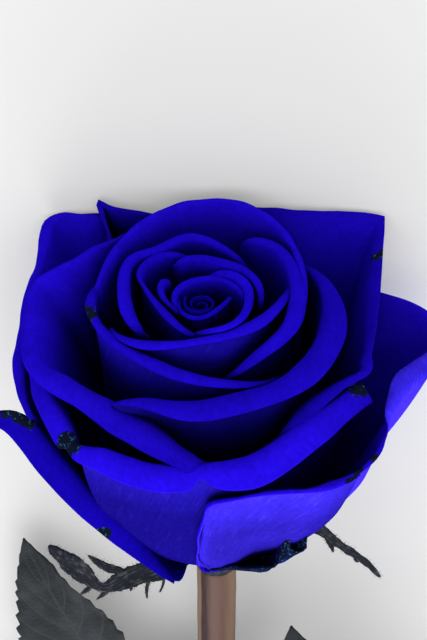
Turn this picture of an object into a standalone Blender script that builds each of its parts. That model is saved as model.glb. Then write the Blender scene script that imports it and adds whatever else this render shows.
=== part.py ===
"""A blue dyed rose, cut with its stem and leaves, lying on its side on a flat surface.

The rose is built upright in its own frame, in millimetres: the stem runs down -Z from the seat of the
petals at the origin, -Y is the face that shows best and +Y is the side that it lies on. An empty then
lays it down. Azimuths turn round the axis of the bloom: 0 right, 90 back, 180 left and 270 front.
"""

import math
from dataclasses import dataclass

import bmesh
import bpy
from mathutils import Matrix, Vector

MM = 0.001

# How it lies: the head on two corners of its back petals, the stem on its cut end
LIE_TILT = 4.040
LIE_ROLL = 2.553
LIE_PLACE = (7.486, 128.054, 27.432)

# Bloom
BLOOM_HEIGHT = 66.0
BLOOM_LEAN = -3.5
PETAL_THICKNESS = 0.7
LEAST_LIP = 0.9
CLAW_SHARE = 0.35
GRID_STEP = 6.2
LIP_ROWS = 2
CORE_TURNS = 2.0
SEAT = ((6.5, 0.7), (6.5, 3.0), (5.2, 5.5), (2.6, 8.0))

# Calyx
HIP = ((4.8, -13.0), (5.6, -11.0), (7.2, -7.5), (7.7, -4.5), (7.3, -1.5), (6.6, 0.3))
SEPAL_THICKNESS = 0.9
SEPAL_ROWS = 13
SEPAL_FRINGE = 0.3

# Stem
STEM_RADIUS = 4.6
STEM_END_RADIUS = 4.2
STEM_TOP = -13.3
STEM_LENGTH = 330.0
STEM_SIDES = 12
STEM_RINGS = 14
CUT_SLANT = 3.0
THORN_LENGTH = 6.0
THORN_BASE = 3.0
THORN_STEP = 34.0
GOLDEN_ANGLE = 137.5

# Leaves
LEAF_THICKNESS = 0.8
LEAF_TEETH = 6
LEAF_DROOP = 0.1
LEAF_FOLD = 0.16
RACHIS_RADIUS = 1.1

PETAL_BLUE = (0.012, 0.004, 0.55)
SEPAL_GREEN = (0.012, 0.018, 0.017)
LEAF_GREEN = (0.035, 0.05, 0.045)
STEM_BROWN = (0.22, 0.14, 0.10)


@dataclass(frozen=True)
class Petal:
    """One petal: its rim runs over points of azimuth, radius, height and roll of the lip."""

    name: str
    rim: tuple
    belly: float
    claw: tuple
    flare: float = 0.0
    curl: float = 165.0


PETALS = (
    Petal(
        "heart_front",
        ((126, 8.5, 63, 0.3), (150, 6, 63, 0.3), (202, 4, 64, 0.4), (265, 4.5, 65, 0.4), (328, 3.5, 65, 0.4),
         (8, 6.5, 66, 0.3)),
        belly=6, claw=(1.5, 6.0),
    ),
    Petal(
        "heart_arch",
        ((199, 5.5, 64, 0.3), (159, 6, 65, 0.5), (138, 6.5, 66, 0.6), (110, 7, 66, 0.6), (78, 8, 66, 0.6),
         (59, 9.5, 66, 0.6), (37, 9, 66, 0.5), (15, 9.5, 65, 0.3)),
        belly=8, claw=(1.7, 6.0),
    ),
    Petal(
        "heart_left",
        ((135, 9.5, 66, 0.5), (144, 10, 66, 0.8), (155, 9.5, 66, 0.8), (169, 8, 65.5, 0.6), (184, 6.5, 65, 0.4),
         (201, 5, 64.5, 0.3)),
        belly=9, claw=(1.9, 5.5),
    ),
    Petal(
        "heart_right",
        ((68, 8.5, 67, 0.3), (56, 11, 67, 0.6), (38, 11, 67, 0.8), (22, 11, 66, 0.8), (5, 10.5, 66, 0.7),
         (336, 10, 66, 0.5), (317, 10.5, 66, 0.4), (299, 10, 66, 0.4), (274, 8.5, 65, 0.3)),
        belly=10, claw=(2.1, 5.5),
    ),
    Petal(
        "heart_back",
        ((115, 11.5, 67, 0.3), (106, 11.5, 68, 0.4), (95, 12.5, 68, 0.6), (82, 12.5, 68, 0.7), (65, 11.5, 68, 0.8),
         (49, 12.5, 68, 0.8), (38, 13.5, 67, 0.8), (26, 13.5, 66, 0.8), (14, 13, 65, 0.6), (6, 12.5, 64, 0.4)),
        belly=12, claw=(2.3, 5.0),
    ),
    Petal(
        "heart_corner",
        ((268, 9.5, 64.5, 0.4), (231, 7.5, 65, 0.6), (198, 8, 65.5, 0.6), (173, 10, 66, 0.4), (153, 13, 66, 0.4),
         (156, 14, 67, 0.4), (146, 15, 67, 0.6), (136, 15.5, 67, 0.7), (124, 16, 67, 0.6), (114, 16, 67, 0.5),
         (103, 14.5, 67, 0.4)),
        belly=13, claw=(2.5, 5.0),
    ),
    Petal(
        "inner_left",
        ((215, 13.5, 63, 0.5), (205, 14.5, 64, 0.9), (187, 15.5, 65, 1.2), (173, 16.5, 66, 1.3), (158, 17.5, 67, 1.2),
         (144, 19.5, 67, 1), (136, 19, 68, 0.8), (127, 19, 67, 0.8), (116, 18.5, 67.5, 0.7), (105, 19, 68, 0.7),
         (96, 19.5, 68, 0.8), (87, 19, 68, 0.8), (77, 18.5, 67, 0.7), (68, 18, 66, 0.5), (62, 17.5, 65, 0.4)),
        belly=16, claw=(2.8, 4.5),
    ),
    Petal(
        "inner_front",
        ((202, 18.5, 63, 0.5), (210, 16.5, 63, 1), (221, 14, 63.5, 1.1), (239, 11.5, 64, 0.8), (260, 10, 64, 0.5),
         (288, 10, 64.5, 0.5), (315, 11, 65, 0.8), (339, 13.5, 65.5, 1.2), (354, 16, 66, 1.2), (6, 18, 66, 0.6)),
        belly=17, claw=(3.0, 4.5),
    ),
    Petal(
        "inner_right",
        ((296, 15.5, 58, 0.5), (312, 16, 60, 1.2), (330, 18, 62, 1.6), (342, 19.5, 63.5, 1.6), (352, 20.5, 65, 1.6),
         (3, 21, 66, 1.5), (12, 22, 67, 1.4), (27, 23.5, 67.5, 1.2), (36, 24, 68, 1), (48, 24.5, 68, 0.9),
         (58, 23, 68, 0.8), (64, 23, 67, 0.5)),
        belly=19, claw=(3.2, 4.0),
    ),
    Petal(
        "middle_back",
        ((170, 22, 66, 0.4), (158, 22.5, 67, 0.5), (146, 22.5, 68, 0.6), (132, 24, 69, 0.6), (121, 25, 69.5, 0.6),
         (111, 26, 70, 0.6), (102, 27.5, 70, 0.6), (93, 28.5, 70, 0.6), (86, 28.5, 70.5, 0.6), (80, 28.5, 71, 0.5),
         (74, 29.5, 70.5, 0.6), (66, 29, 70, 0.6), (58, 28, 69.5, 0.6), (46, 25.5, 69, 0.6), (34, 24.5, 68, 0.6),
         (21, 23, 67, 0.5), (10, 22.5, 66, 0.4)),
        belly=22, claw=(3.4, 4.0), flare=5,
    ),
    Petal(
        "middle_front",
        ((166, 22.5, 65, 0.6), (174, 23.5, 65, 1), (176, 23.5, 64, 1), (188, 22, 62.5, 0.7), (199, 20.5, 62, 0.7),
         (208, 19, 62, 0.7), (221, 16.5, 61.5, 0.9), (234, 15.5, 61, 1), (251, 15, 60.5, 1.1), (269, 15.5, 60, 1.2),
         (285, 17, 59.5, 1.1), (296, 18, 59, 0.9), (308, 20.5, 58.5, 0.5)),
        belly=22, claw=(3.6, 3.5),
    ),
    Petal(
        "middle_right",
        ((29, 26.5, 64, 1), (24, 28, 64, 1.4), (15, 29, 63.5, 1.8), (1, 28.5, 63, 2.2), (345, 28, 62, 2.4),
         (333, 27.5, 60.5, 2.4), (322, 25.5, 59.5, 2.2), (307, 23, 58.5, 2.1), (291, 21.5, 58, 2), (272, 21.5, 57, 2.2),
         (261, 21.5, 56.5, 2), (249, 21.5, 56.5, 1.6), (237, 23, 56.5, 1.1), (228, 27, 57, 0.5)),
        belly=25, claw=(3.8, 3.5), flare=5,
    ),
    Petal(
        "outer_left",
        ((128, 27.5, 66, 0.6), (134, 28, 66, 0.7), (143, 29.5, 65.5, 0.8), (155, 33, 64, 0.9), (163, 37, 62.5, 0.6),
         (170, 37, 61.5, 1), (176, 36.5, 60.5, 1.4), (187, 37, 58.5, 1.8), (194, 36, 57, 2), (202, 32.5, 56, 1.6),
         (209, 30, 55.5, 1.8), (220, 27, 54.5, 2), (228, 26, 54, 2.2), (236, 25.5, 53, 2.5), (245, 25.5, 52, 2.8),
         (254, 26.5, 51, 3), (261, 27.5, 50, 2.6), (268, 29.5, 49, 1.5)),
        belly=27, claw=(4.0, 3.0), flare=10,
    ),
    Petal(
        "outer_back_right",
        ((73, 31.5, 67, 0.6), (58, 35, 67, 0.7), (45, 41.3, 66.5, 0.8), (37, 48.5, 65.5, 0.8), (29, 43.3, 62.5, 0.8),
         (14, 37.2, 58.5, 0.9), (0, 34.2, 55, 0.9), (348, 33.6, 53, 0.8), (344, 31.8, 53, 1.2), (336, 29, 52.5, 1.6),
         (327, 27, 51.5, 1.6), (317, 26.5, 50.5, 1.4), (308, 26.5, 49, 1)),
        belly=28, claw=(4.2, 3.0), flare=15,
    ),
    Petal(
        "outer_back",
        ((129, 30.5, 64, 0.6), (127, 34.5, 66, 0.6), (125, 38, 67.5, 0.5), (120, 35, 66.5, 0.6),
         (107, 31.5, 65, 0.6), (95, 30.5, 64, 0.6), (84, 30.5, 63, 0.5)),
        belly=29, claw=(4.4, 3.0), flare=10,
    ),
    Petal(
        "outer_front",
        ((187, 37.5, 50, 1), (196, 37, 49.5, 1.5), (207, 37, 48.5, 1.8), (214, 37, 47, 1.5), (218, 37, 46, 1.2),
         (223, 35.5, 46.5, 2.6), (234, 33, 47.5, 3.2), (242, 32.5, 48, 3.4), (250, 31.5, 48, 3.8), (259, 31.5, 48, 3.9),
         (268, 31.5, 48, 2.8), (274, 31, 49, 4), (282, 31, 49.5, 4.3), (291, 30.5, 50, 4.6), (298, 29.5, 50.5, 4.6),
         (306, 29, 51, 4.4), (315, 29, 51, 4), (323, 29, 51, 3.4), (333, 29.5, 51, 2.8), (345, 31.5, 50.5, 2),
         (350, 34.5, 50, 1)),
        belly=30, claw=(4.6, 2.5), flare=5, curl=180,
    ),
    Petal(
        "guard_back_left",
        ((114, 33.5, 64, 0.8), (124, 38.5, 64, 0.8), (133, 44.3, 64, 0.9), (136, 46.2, 63.5, 0.9), (148, 40.8, 58.5, 1),
         (173, 38.3, 51, 1.2), (177, 39.3, 49, 1.2), (183, 38.5, 46, 1.2), (193, 38, 43, 1)),
        belly=31, claw=(4.8, 2.5), flare=15,
    ),
    Petal(
        "guard_right",
        ((300, 33, 37, 0.8), (309, 35.5, 38.5, 0.7), (319, 39.5, 40, 0.5), (327, 40.5, 41, 0.6), (338, 40, 43, 1),
         (351, 40.5, 44.5, 1.2), (358, 42, 45.5, 1.4), (8, 45, 48, 1.2), (11, 49, 47.5, 1), (17, 51, 49, 1),
         (22, 49, 51, 1), (27, 42.5, 52, 1)),
        belly=23, claw=(5.0, 2.0), flare=15,
    ),
    Petal(
        "guard_front_right",
        ((269, 30, 36, 0.6), (276, 29.5, 36.5, 0.6), (287, 30, 37, 0.6), (300, 33.5, 38, 0.6), (309, 36.5, 39, 0.6),
         (314, 38.5, 39.5, 0.6), (319, 40.5, 40, 0.5), (323, 41, 40, 0.5)),
        belly=24, claw=(5.1, 2.0), flare=14,
    ),
    Petal(
        "guard_left",
        ((188, 42, 43, 1.4), (193, 41.5, 42, 2), (198, 40.5, 40.5, 2.6), (203, 38.5, 38, 3), (211, 36.5, 34, 3.3),
         (217, 35, 31, 3.3), (224, 32, 27, 3), (230, 29, 21, 3), (237, 26, 14, 2.5), (245, 24.5, 9, 1.5),
         (250, 24.5, 5, 0.9)),
        belly=32, claw=(5.0, 2.0), flare=40, curl=150,
    ),
    Petal(
        "guard_back",
        ((48, 33, 50, 1), (62, 31, 52, 1.2), (80, 29.3, 53, 1.3), (98, 29.3, 52.5, 1.3), (113, 31, 51, 1)),
        belly=25, claw=(5.0, 2.0), flare=10,
    ),
    Petal(
        "guard_base",
        ((263, 21, 5.5, 0.6), (276, 21.5, 6, 0.6), (285, 22, 5.5, 0.8), (294, 22.5, 5.3, 1), (303, 23, 5, 1),
         (313, 24.5, 5, 1), (322, 25, 5.5, 0.9), (323, 25, 8, 0.8), (319, 25, 10.5, 0.7)),
        belly=17, claw=(5.3, 1.3), flare=35, curl=120,
    ),
)


def around(azimuth, radius, height, lean=BLOOM_LEAN):
    """A point of the bloom, whose axis leans a little to the left as it rises."""
    turn = math.radians(azimuth)
    shift = lean * height / BLOOM_HEIGHT
    return Vector((radius * math.cos(turn) + shift, radius * math.sin(turn), height))


def unwrapped(rim):
    """The rim's rows with azimuths that run on through 0 or 360 without a jump."""
    rows, last = [], rim[0][0]
    for azimuth, *rest in rim:
        last += (azimuth - last + 180) % 360 - 180
        rows.append((last, *rest))
    return rows


def smooth_curve(rows, place, count):
    """Evenly spaced rows of the Catmull-Rom curve through some rows, each placed as a point in space."""
    def row(i):
        return rows[min(max(i, 0), len(rows) - 1)]

    fine = []
    for i in range(len(rows) - 1):
        for step in range(8):
            t = step / 8
            fine.append(tuple(
                0.5 * (2 * b + (c - a) * t + (2 * a - 5 * b + 4 * c - d) * t ** 2 + (3 * b - a - 3 * c + d) * t ** 3)
                for a, b, c, d in zip(row(i - 1), row(i), row(i + 1), row(i + 2))
            ))
    fine.append(tuple(rows[-1]))
    lengths = [0.0]
    for a, b in zip(fine, fine[1:]):
        lengths.append(lengths[-1] + (place(b) - place(a)).length)
    count = count or max(5, min(13, round(lengths[-1] / GRID_STEP))) + 1
    points, i = [], 0
    for k in range(count):
        target = lengths[-1] * k / (count - 1)
        while i < len(fine) - 2 and lengths[i + 1] < target:
            i += 1
        share = (target - lengths[i]) / max(lengths[i + 1] - lengths[i], 1e-9)
        points.append(tuple(a + (b - a) * share for a, b in zip(fine[i], fine[i + 1])))
    return points


def bezier(a, b, c, d, t):
    """A point of a cubic Bezier."""
    s = 1 - t
    return [s ** 3 * p + 3 * s * s * t * q + 3 * s * t * t * r + t ** 3 * u for p, q, r, u in zip(a, b, c, d)]


def petal_grid(petal, body_rows):
    """Rows of points from the claw up to the rim and over the rolled lip."""
    rim = smooth_curve(unwrapped(petal.rim), lambda row: around(*row[:3]), None)
    centre = (rim[0][0] + rim[-1][0]) / 2
    flare = math.radians(petal.flare)
    top = (math.sin(flare), math.cos(flare))
    out = (math.cos(flare), -math.sin(flare))
    crest = math.pi / 2 - flare
    columns = []
    for azimuth, radius, height, lip in rim:
        roll = max(lip, LEAST_LIP)
        end = tuple(
            p - roll * (math.sin(crest) * t + (1 - math.cos(crest)) * o)
            for p, t, o in zip((radius, height), top, out)
        )
        start = petal.claw
        reach = 0.4 * math.hypot(end[0] - start[0], end[1] - start[1])
        low = (min(petal.belly, end[0] + 6), start[1] - 3)
        high = (end[0] - reach * top[0], end[1] - reach * top[1])
        column = []
        for row in range(body_rows + 1):
            t = row / body_rows
            share = CLAW_SHARE + (1 - CLAW_SHARE) * (1 - (1 - t) ** 3)
            column.append(around(centre + (azimuth - centre) * share, *bezier(start, low, high, end, t)))
        for row in range(1, LIP_ROWS + 1):
            turn = math.radians(petal.curl) * row / LIP_ROWS
            rolled = [
                e + roll * (math.sin(turn) * t + (1 - math.cos(turn)) * o) for e, t, o in zip(end, top, out)
            ]
            column.append(around(azimuth, *rolled))
        columns.append(column)
    return [[column[row] for column in columns] for row in range(len(columns[0]))]


def grid_normals(grid):
    """A unit normal at each point of a grid."""
    rows, columns = len(grid), len(grid[0])
    normals = []
    for i in range(rows):
        line = []
        for j in range(columns):
            along = grid[i][min(j + 1, columns - 1)] - grid[i][max(j - 1, 0)]
            up = grid[min(i + 1, rows - 1)][j] - grid[max(i - 1, 0)][j]
            line.append(along.cross(up).normalized())
        normals.append(line)
    return normals


def sheet_mesh(name, grid, thickness):
    """A closed blade of even thickness, split into the same triangles on both faces."""
    bm = bmesh.new()
    normals = grid_normals(grid)
    rows, columns = len(grid), len(grid[0])
    faces = []
    for side in (0.5, -0.5):
        faces.append([
            [bm.verts.new((grid[i][j] + normals[i][j] * thickness * side) * MM) for j in range(columns)]
            for i in range(rows)
        ])
    front, back = faces

    def split(a, b, c, d):
        bm.faces.new((a, b, c))
        bm.faces.new((a, c, d))

    for i in range(rows - 1):
        for j in range(columns - 1):
            split(front[i][j], front[i][j + 1], front[i + 1][j + 1], front[i + 1][j])
            a, b, c, d = back[i][j], back[i][j + 1], back[i + 1][j + 1], back[i + 1][j]
            bm.faces.new((a, c, b))
            bm.faces.new((a, d, c))
    for i in range(rows - 1):
        split(front[i][0], front[i + 1][0], back[i + 1][0], back[i][0])
        split(front[i + 1][-1], front[i][-1], back[i][-1], back[i + 1][-1])
    for j in range(columns - 1):
        split(front[0][j + 1], front[0][j], back[0][j], back[0][j + 1])
        split(front[-1][j], front[-1][j + 1], back[-1][j + 1], back[-1][j])
    bmesh.ops.recalc_face_normals(bm, faces=bm.faces)
    return object_from(name, bm)


def turned_mesh(name, profile, sides):
    """A closed solid turned round Z from a profile of radius and height, bottom to top."""
    bm = bmesh.new()
    rings = []
    for radius, height in profile:
        rings.append([
            bm.verts.new(Vector((radius * math.cos(a), radius * math.sin(a), height)) * MM)
            for a in (2 * math.pi * k / sides for k in range(sides))
        ])
    for low, high in zip(rings, rings[1:]):
        for k in range(sides):
            bm.faces.new((low[k], low[(k + 1) % sides], high[(k + 1) % sides], high[k]))
    bm.faces.new(list(reversed(rings[0])))
    bm.faces.new(rings[-1])
    return object_from(name, bm)


def tube_mesh(name, path, radii, sides):
    """A closed round tube along a path, with one radius for each of its points."""
    bm = bmesh.new()
    rings = []
    side = Vector((1, 0, 0))
    for i, (point, radius) in enumerate(zip(path, radii)):
        ahead = (path[min(i + 1, len(path) - 1)] - path[max(i - 1, 0)]).normalized()
        side = (side - ahead * side.dot(ahead)).normalized()
        other = ahead.cross(side)
        rings.append([
            bm.verts.new((point + (side * math.cos(a) + other * math.sin(a)) * radius) * MM)
            for a in (2 * math.pi * k / sides for k in range(sides))
        ])
    for low, high in zip(rings, rings[1:]):
        for k in range(sides):
            bm.faces.new((low[k], low[(k + 1) % sides], high[(k + 1) % sides], high[k]))
    bm.faces.new(list(reversed(rings[0])))
    bm.faces.new(rings[-1])
    bmesh.ops.recalc_face_normals(bm, faces=bm.faces)
    return object_from(name, bm)


def object_from(name, bm):
    """Puts a finished bmesh in the scene as an object."""
    mesh = bpy.data.meshes.new(name)
    bm.to_mesh(mesh)
    bm.free()
    obj = bpy.data.objects.new(name, mesh)
    bpy.context.scene.collection.objects.link(obj)
    return obj


def shell_volume(faces):
    """The signed volume inside a shell of faces."""
    volume = 0.0
    for face in faces:
        corners = [vert.co for vert in face.verts]
        for b, c in zip(corners[1:], corners[2:]):
            volume += corners[0].dot(b.cross(c)) / 6
    return volume


def keep_largest_shell(mesh):
    """Fills the hollows sealed by fusing and drops loose scraps."""
    bm = bmesh.new()
    bm.from_mesh(mesh)
    left, shells = set(bm.faces), []
    while left:
        front = [left.pop()]
        shell = []
        while front:
            face = front.pop()
            shell.append(face)
            for edge in face.edges:
                for other in edge.link_faces:
                    if other in left:
                        left.remove(other)
                        front.append(other)
        shells.append(shell)
    shells.sort(key=shell_volume)
    drop = [face for shell in shells[:-1] for face in shell]
    bmesh.ops.delete(bm, geom=drop, context="FACES")
    bm.to_mesh(mesh)
    bm.free()


def fuse(name, base, pieces, material):
    """Joins the pieces to the base in one closed solid and removes them."""
    group = bpy.data.collections.new(name + "_pieces")
    bpy.context.scene.collection.children.link(group)
    for piece in pieces:
        bpy.context.scene.collection.objects.unlink(piece)
        group.objects.link(piece)
    join = base.modifiers.new("join", "BOOLEAN")
    join.operation = "UNION"
    join.operand_type = "COLLECTION"
    join.collection = group
    join.solver = "MANIFOLD"
    bpy.context.view_layer.update()
    graph = bpy.context.evaluated_depsgraph_get()
    mesh = bpy.data.meshes.new_from_object(base.evaluated_get(graph))
    for piece in [*pieces, base]:
        bpy.data.objects.remove(piece)
    bpy.data.collections.remove(group)
    keep_largest_shell(mesh)
    mesh.name = name
    mesh.materials.clear()
    mesh.materials.append(material)
    mesh.shade_smooth()
    mesh.set_sharp_from_angle(angle=math.radians(40))
    obj = bpy.data.objects.new(name, mesh)
    bpy.context.scene.collection.objects.link(obj)
    return obj


def make_material(name, colour, roughness):
    """A plain Principled finish."""
    material = bpy.data.materials.new(name)
    material.use_nodes = True
    shader = material.node_tree.nodes["Principled BSDF"]
    shader.inputs["Base Color"].default_value = (*colour, 1)
    shader.inputs["Roughness"].default_value = roughness
    shader.inputs["Metallic"].default_value = 0
    return material


def make_core():
    """The tight coil at the very heart, a petal rolled up on itself."""
    steps = 20
    grid = []
    for height in (5.0, 30.0, 56.0, 63.0):
        row = []
        for k in range(steps + 1):
            share = k / steps
            radius = (1.3 + 1.7 * CORE_TURNS * share) * (0.75 + 0.25 * height / 63.0)
            row.append(around(180 - 360 * CORE_TURNS * share, radius, height + share * height / 63.0))
        grid.append(row)
    return sheet_mesh("core", grid, PETAL_THICKNESS)


def make_bloom():
    """All the petals, with their claws sunk in the seat that carries them."""
    seat = turned_mesh("seat", SEAT, STEM_SIDES)
    pieces = [sheet_mesh(p.name, petal_grid(p, 5 if p.belly > 20 else 4), PETAL_THICKNESS) for p in PETALS]
    pieces.append(make_core())
    return fuse("bloom", seat, pieces, make_material("petal_blue", PETAL_BLUE, 0.6))


def blade_grid(path, facing, halves, fold):
    """Three lines of points, edge, rib and edge, along a path that faces one way."""
    grid = []
    for i, (point, half) in enumerate(zip(path, halves)):
        ahead = (path[min(i + 1, len(path) - 1)] - path[max(i - 1, 0)]).normalized()
        across = ahead.cross(facing).normalized()
        edge = across.cross(ahead) * half * fold
        grid.append([point - across * half + edge, point, point + across * half + edge])
    return grid


@dataclass(frozen=True)
class Sepal:
    """One sepal: points of its rib with the half width there, and the way that its outer face looks."""

    name: str
    rib: tuple
    facing: tuple


SEPALS = (
    Sepal(
        "left",
        ((-4.8, -3.6, -4.0, 2.0), (-10.5, -7.0, -8.0, 3.0), (-17.5, -8.4, -11.0, 3.4), (-23.5, -8.4, -13.5, 2.6),
         (-27.5, -7.8, -13.0, 1.2), (-32.0, -7.0, -9.5, 3.6), (-38.5, -6.0, -3.0, 0.5)),
        (-0.1, -0.9, 0.1),
    ),
    Sepal(
        "right",
        ((5.6, 0.6, -4.0, 2.0), (14.0, 2.6, -5.2, 2.4), (24.3, 4.0, -6.4, 1.8), (30.0, 4.0, -11.0, 1.6),
         (35.0, 4.0, -16.0, 1.0), (38.0, 4.0, -21.3, 0.5)),
        (0.2, -0.9, 0.1),
    ),
    Sepal(
        "front",
        ((0.8, -5.6, -2.2, 3.0), (2.2, -10.0, -4.0, 2.4), (3.0, -13.0, -5.0, 0.5)),
        (0.0, -0.3, -1.0),
    ),
    Sepal(
        "back_right",
        ((2.3, 5.0, -2.2, 3.2), (5.2, 12.0, -4.6, 3.2), (8.0, 19.0, -10.0, 2.6), (9.5, 22.0, -18.0, 1.8),
         (9.0, 22.0, -30.0, 0.5)),
        (0.2, 0.6, -0.7),
    ),
    Sepal(
        "back_left",
        ((-4.1, 3.7, -2.2, 3.2), (-9.6, 8.8, -4.6, 3.2), (-15.0, 14.0, -9.0, 2.8), (-19.5, 18.0, -16.0, 2.0),
         (-21.0, 19.0, -27.0, 0.5)),
        (-0.4, 0.5, -0.7),
    ),
)


def make_calyx():
    """The hip with its five fringed sepals bent back from it."""
    hip = turned_mesh("hip", HIP, STEM_SIDES)
    pieces = []
    for sepal in SEPALS:
        rows = smooth_curve(sepal.rib, lambda row: Vector(row[:3]), SEPAL_ROWS)
        halves = [
            max(row[3] * (1 + SEPAL_FRINGE * (1 if k % 2 else -1) * (0 < k < SEPAL_ROWS - 1)), 0.5)
            for k, row in enumerate(rows)
        ]
        grid = blade_grid([Vector(row[:3]) for row in rows], Vector(sepal.facing), halves, 0.25)
        pieces.append(sheet_mesh("sepal_" + sepal.name, grid, SEPAL_THICKNESS))
    return fuse("calyx", hip, pieces, make_material("sepal_green", SEPAL_GREEN, 0.7))


def stem_radius(height):
    """The stem thins a little toward its cut end."""
    share = (height - STEM_TOP) / (-STEM_LENGTH - STEM_TOP)
    return STEM_RADIUS + (STEM_END_RADIUS - STEM_RADIUS) * share


def make_thorn(name, height, azimuth):
    """A thorn with a wide foot sunk in the stem, hooked a little downward."""
    turn = math.radians(azimuth)
    out = Vector((math.cos(turn), math.sin(turn), 0))
    down = Vector((0, 0, -1))
    foot = out * (stem_radius(height) - 1.2) + Vector((0, 0, height))
    path = [foot, foot + out * 2.4 + down * 0.3, foot + out * 4.8 + down * 1.4, foot + out * (THORN_LENGTH + 1.2) + down * 3.2]
    return tube_mesh(name, path, [THORN_BASE, THORN_BASE * 0.5, THORN_BASE * 0.26, 0.35], 6)


def make_stem():
    """The stem with its slanted cut end and its thorns."""
    profile = [(stem_radius(h), h) for h in (
        -STEM_LENGTH + (STEM_TOP + STEM_LENGTH) * k / STEM_RINGS for k in range(STEM_RINGS + 1)
    )]
    stem = turned_mesh("stem_core", profile, STEM_SIDES)
    for vert in stem.data.vertices:
        if vert.co.z < (-STEM_LENGTH + 1) * MM:
            vert.co.z += CUT_SLANT * (1 - vert.co.y / (STEM_END_RADIUS * MM)) * MM
    thorns = []
    for k, height in enumerate(range(-62, int(-STEM_LENGTH) + 40, -int(THORN_STEP))):
        azimuth = 20 + GOLDEN_ANGLE * k
        near_floor = math.sin(math.radians(azimuth)) > 0.6 and height < -150
        thorns.append(make_thorn(f"thorn_{k}", height, azimuth + (180 if near_floor else 0)))
    return fuse("stem", stem, thorns, make_material("stem_brown", STEM_BROWN, 0.55))


@dataclass(frozen=True)
class Leaf:
    """A leaf: the curve of its rachis, the tip of the end leaflet and the way that its upper face looks."""

    name: str
    rachis: tuple
    tip: tuple
    facing: tuple
    half_width: float


LEAVES = (
    Leaf("leaf_1", ((-5.2, 0.7, -122), (-15, 4.5, -120.5), (-29, 15, -108), (-35, 16, -83)), (-47, 19.5, -24), (-0.1, -1, 0.1), 19.0),
    Leaf("leaf_2", ((5.2, -1.1, -137), (15, -4, -135.5), (27, -9, -117), (25, -11, -86)), (13.5, -9, -27), (0.15, -1, 0.1), 16.0),
    Leaf("leaf_3", ((-5.1, -1.2, -218), (-15, -4, -216.5), (-30, -10, -200), (-34, -10, -178)), (-50, -4, -124), (-0.2, -1, 0.1), 16.0),
)


def leaflet_mesh(name, base, tip, facing, half_width):
    """A toothed leaflet, folded along its rib, that bends back toward its tip."""
    reach = tip - base
    rows = 2 * LEAF_TEETH + 1
    path, halves = [], []
    for k in range(rows):
        t = k / (rows - 1)
        path.append(base + reach * t + facing * LEAF_DROOP * reach.length * 4 * t * (1 - t) * 0.5)
        tooth = 1 + 0.09 * (1 if k % 2 else -1)
        halves.append(max(half_width * math.sin(math.pi * t ** 0.65) ** 0.9 * tooth if 0 < t < 1 else 0, 0.55))
    return sheet_mesh(name, blade_grid(path, facing, halves, LEAF_FOLD), LEAF_THICKNESS)


def make_leaf(leaf, material):
    """A compound leaf: a stalk, two pairs of leaflets and one at its end."""
    facing = Vector(leaf.facing).normalized()
    corners = [Vector(p) for p in leaf.rachis]
    path = [Vector(bezier(*corners, k / 8)) for k in range(9)]
    stalk = tube_mesh(leaf.name + "_rachis", path, [1.9] + [RACHIS_RADIUS] * 7 + [0.8], 6)
    end, tip = path[-1], Vector(leaf.tip)
    pieces = [leaflet_mesh(leaf.name + "_end", end - (tip - end).normalized() * 1.5, tip, facing, leaf.half_width)]
    across = (tip - end).cross(facing).normalized()
    for share, size in ((7, 0.78), (4, 0.62)):
        ahead = (path[share + 1] - path[share - 1]).normalized()
        for side in (-1, 1):
            way = ahead * 0.5 + across * side * 0.87
            pieces.append(leaflet_mesh(
                f"{leaf.name}_{share}_{side}", path[share], path[share] + way * (tip - end).length * size,
                facing, leaf.half_width * size,
            ))
    return fuse(leaf.name, stalk, pieces, material)


def main():
    """Builds the rose upright and lays it down."""
    for obj in list(bpy.data.objects):
        bpy.data.objects.remove(obj)
    rose = bpy.data.objects.new("rose", None)
    bpy.context.scene.collection.objects.link(rose)
    green = make_material("leaf_green", LEAF_GREEN, 0.5)
    nodes = [make_bloom(), make_calyx(), make_stem(), *(make_leaf(leaf, green) for leaf in LEAVES)]
    for node in nodes:
        node.parent = rose
    tilt = Matrix.Rotation(math.radians(LIE_TILT - 90), 4, "X")
    roll = Matrix.Rotation(math.radians(LIE_ROLL), 4, "Z")
    rose.matrix_world = Matrix.Translation(Vector(LIE_PLACE) * MM) @ tilt @ roll


main()
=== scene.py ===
"""A blue dyed rose, cut with its stem and leaves and laid on its side: its finished surfaces.

The flower is shaped upright in millimetres: the stem runs down -Z from the seat of the petals at the
origin, -Y is the face that shows best and +Y the side that it lies on. Azimuths turn round the axis of
the bloom: 0 right, 90 back, 180 left and 270 front. The last step of each piece lays it down in metres,
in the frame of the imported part.
"""

from __future__ import annotations

import logging
import math
import random
from dataclasses import dataclass, field
from enum import Enum
from typing import Callable, Sequence

import bmesh
import bpy
import numpy as np
from mathutils import Matrix, Vector

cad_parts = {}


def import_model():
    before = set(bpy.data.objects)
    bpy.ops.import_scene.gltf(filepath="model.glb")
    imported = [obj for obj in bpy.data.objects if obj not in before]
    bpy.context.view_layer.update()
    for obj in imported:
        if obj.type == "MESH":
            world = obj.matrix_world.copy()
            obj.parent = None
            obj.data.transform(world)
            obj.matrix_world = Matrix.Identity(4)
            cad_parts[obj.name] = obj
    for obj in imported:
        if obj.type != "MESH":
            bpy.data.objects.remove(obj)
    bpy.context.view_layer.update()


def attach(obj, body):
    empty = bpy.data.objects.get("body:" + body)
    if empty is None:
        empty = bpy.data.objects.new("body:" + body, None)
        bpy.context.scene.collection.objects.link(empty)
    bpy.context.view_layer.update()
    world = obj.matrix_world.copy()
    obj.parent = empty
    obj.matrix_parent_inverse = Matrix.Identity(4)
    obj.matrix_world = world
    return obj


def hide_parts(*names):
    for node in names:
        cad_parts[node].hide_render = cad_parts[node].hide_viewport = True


log = logging.getLogger("rose")

MM = 0.001
BODY = "root"

Point = tuple[float, float, float]
Colour = tuple[float, float, float]


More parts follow.
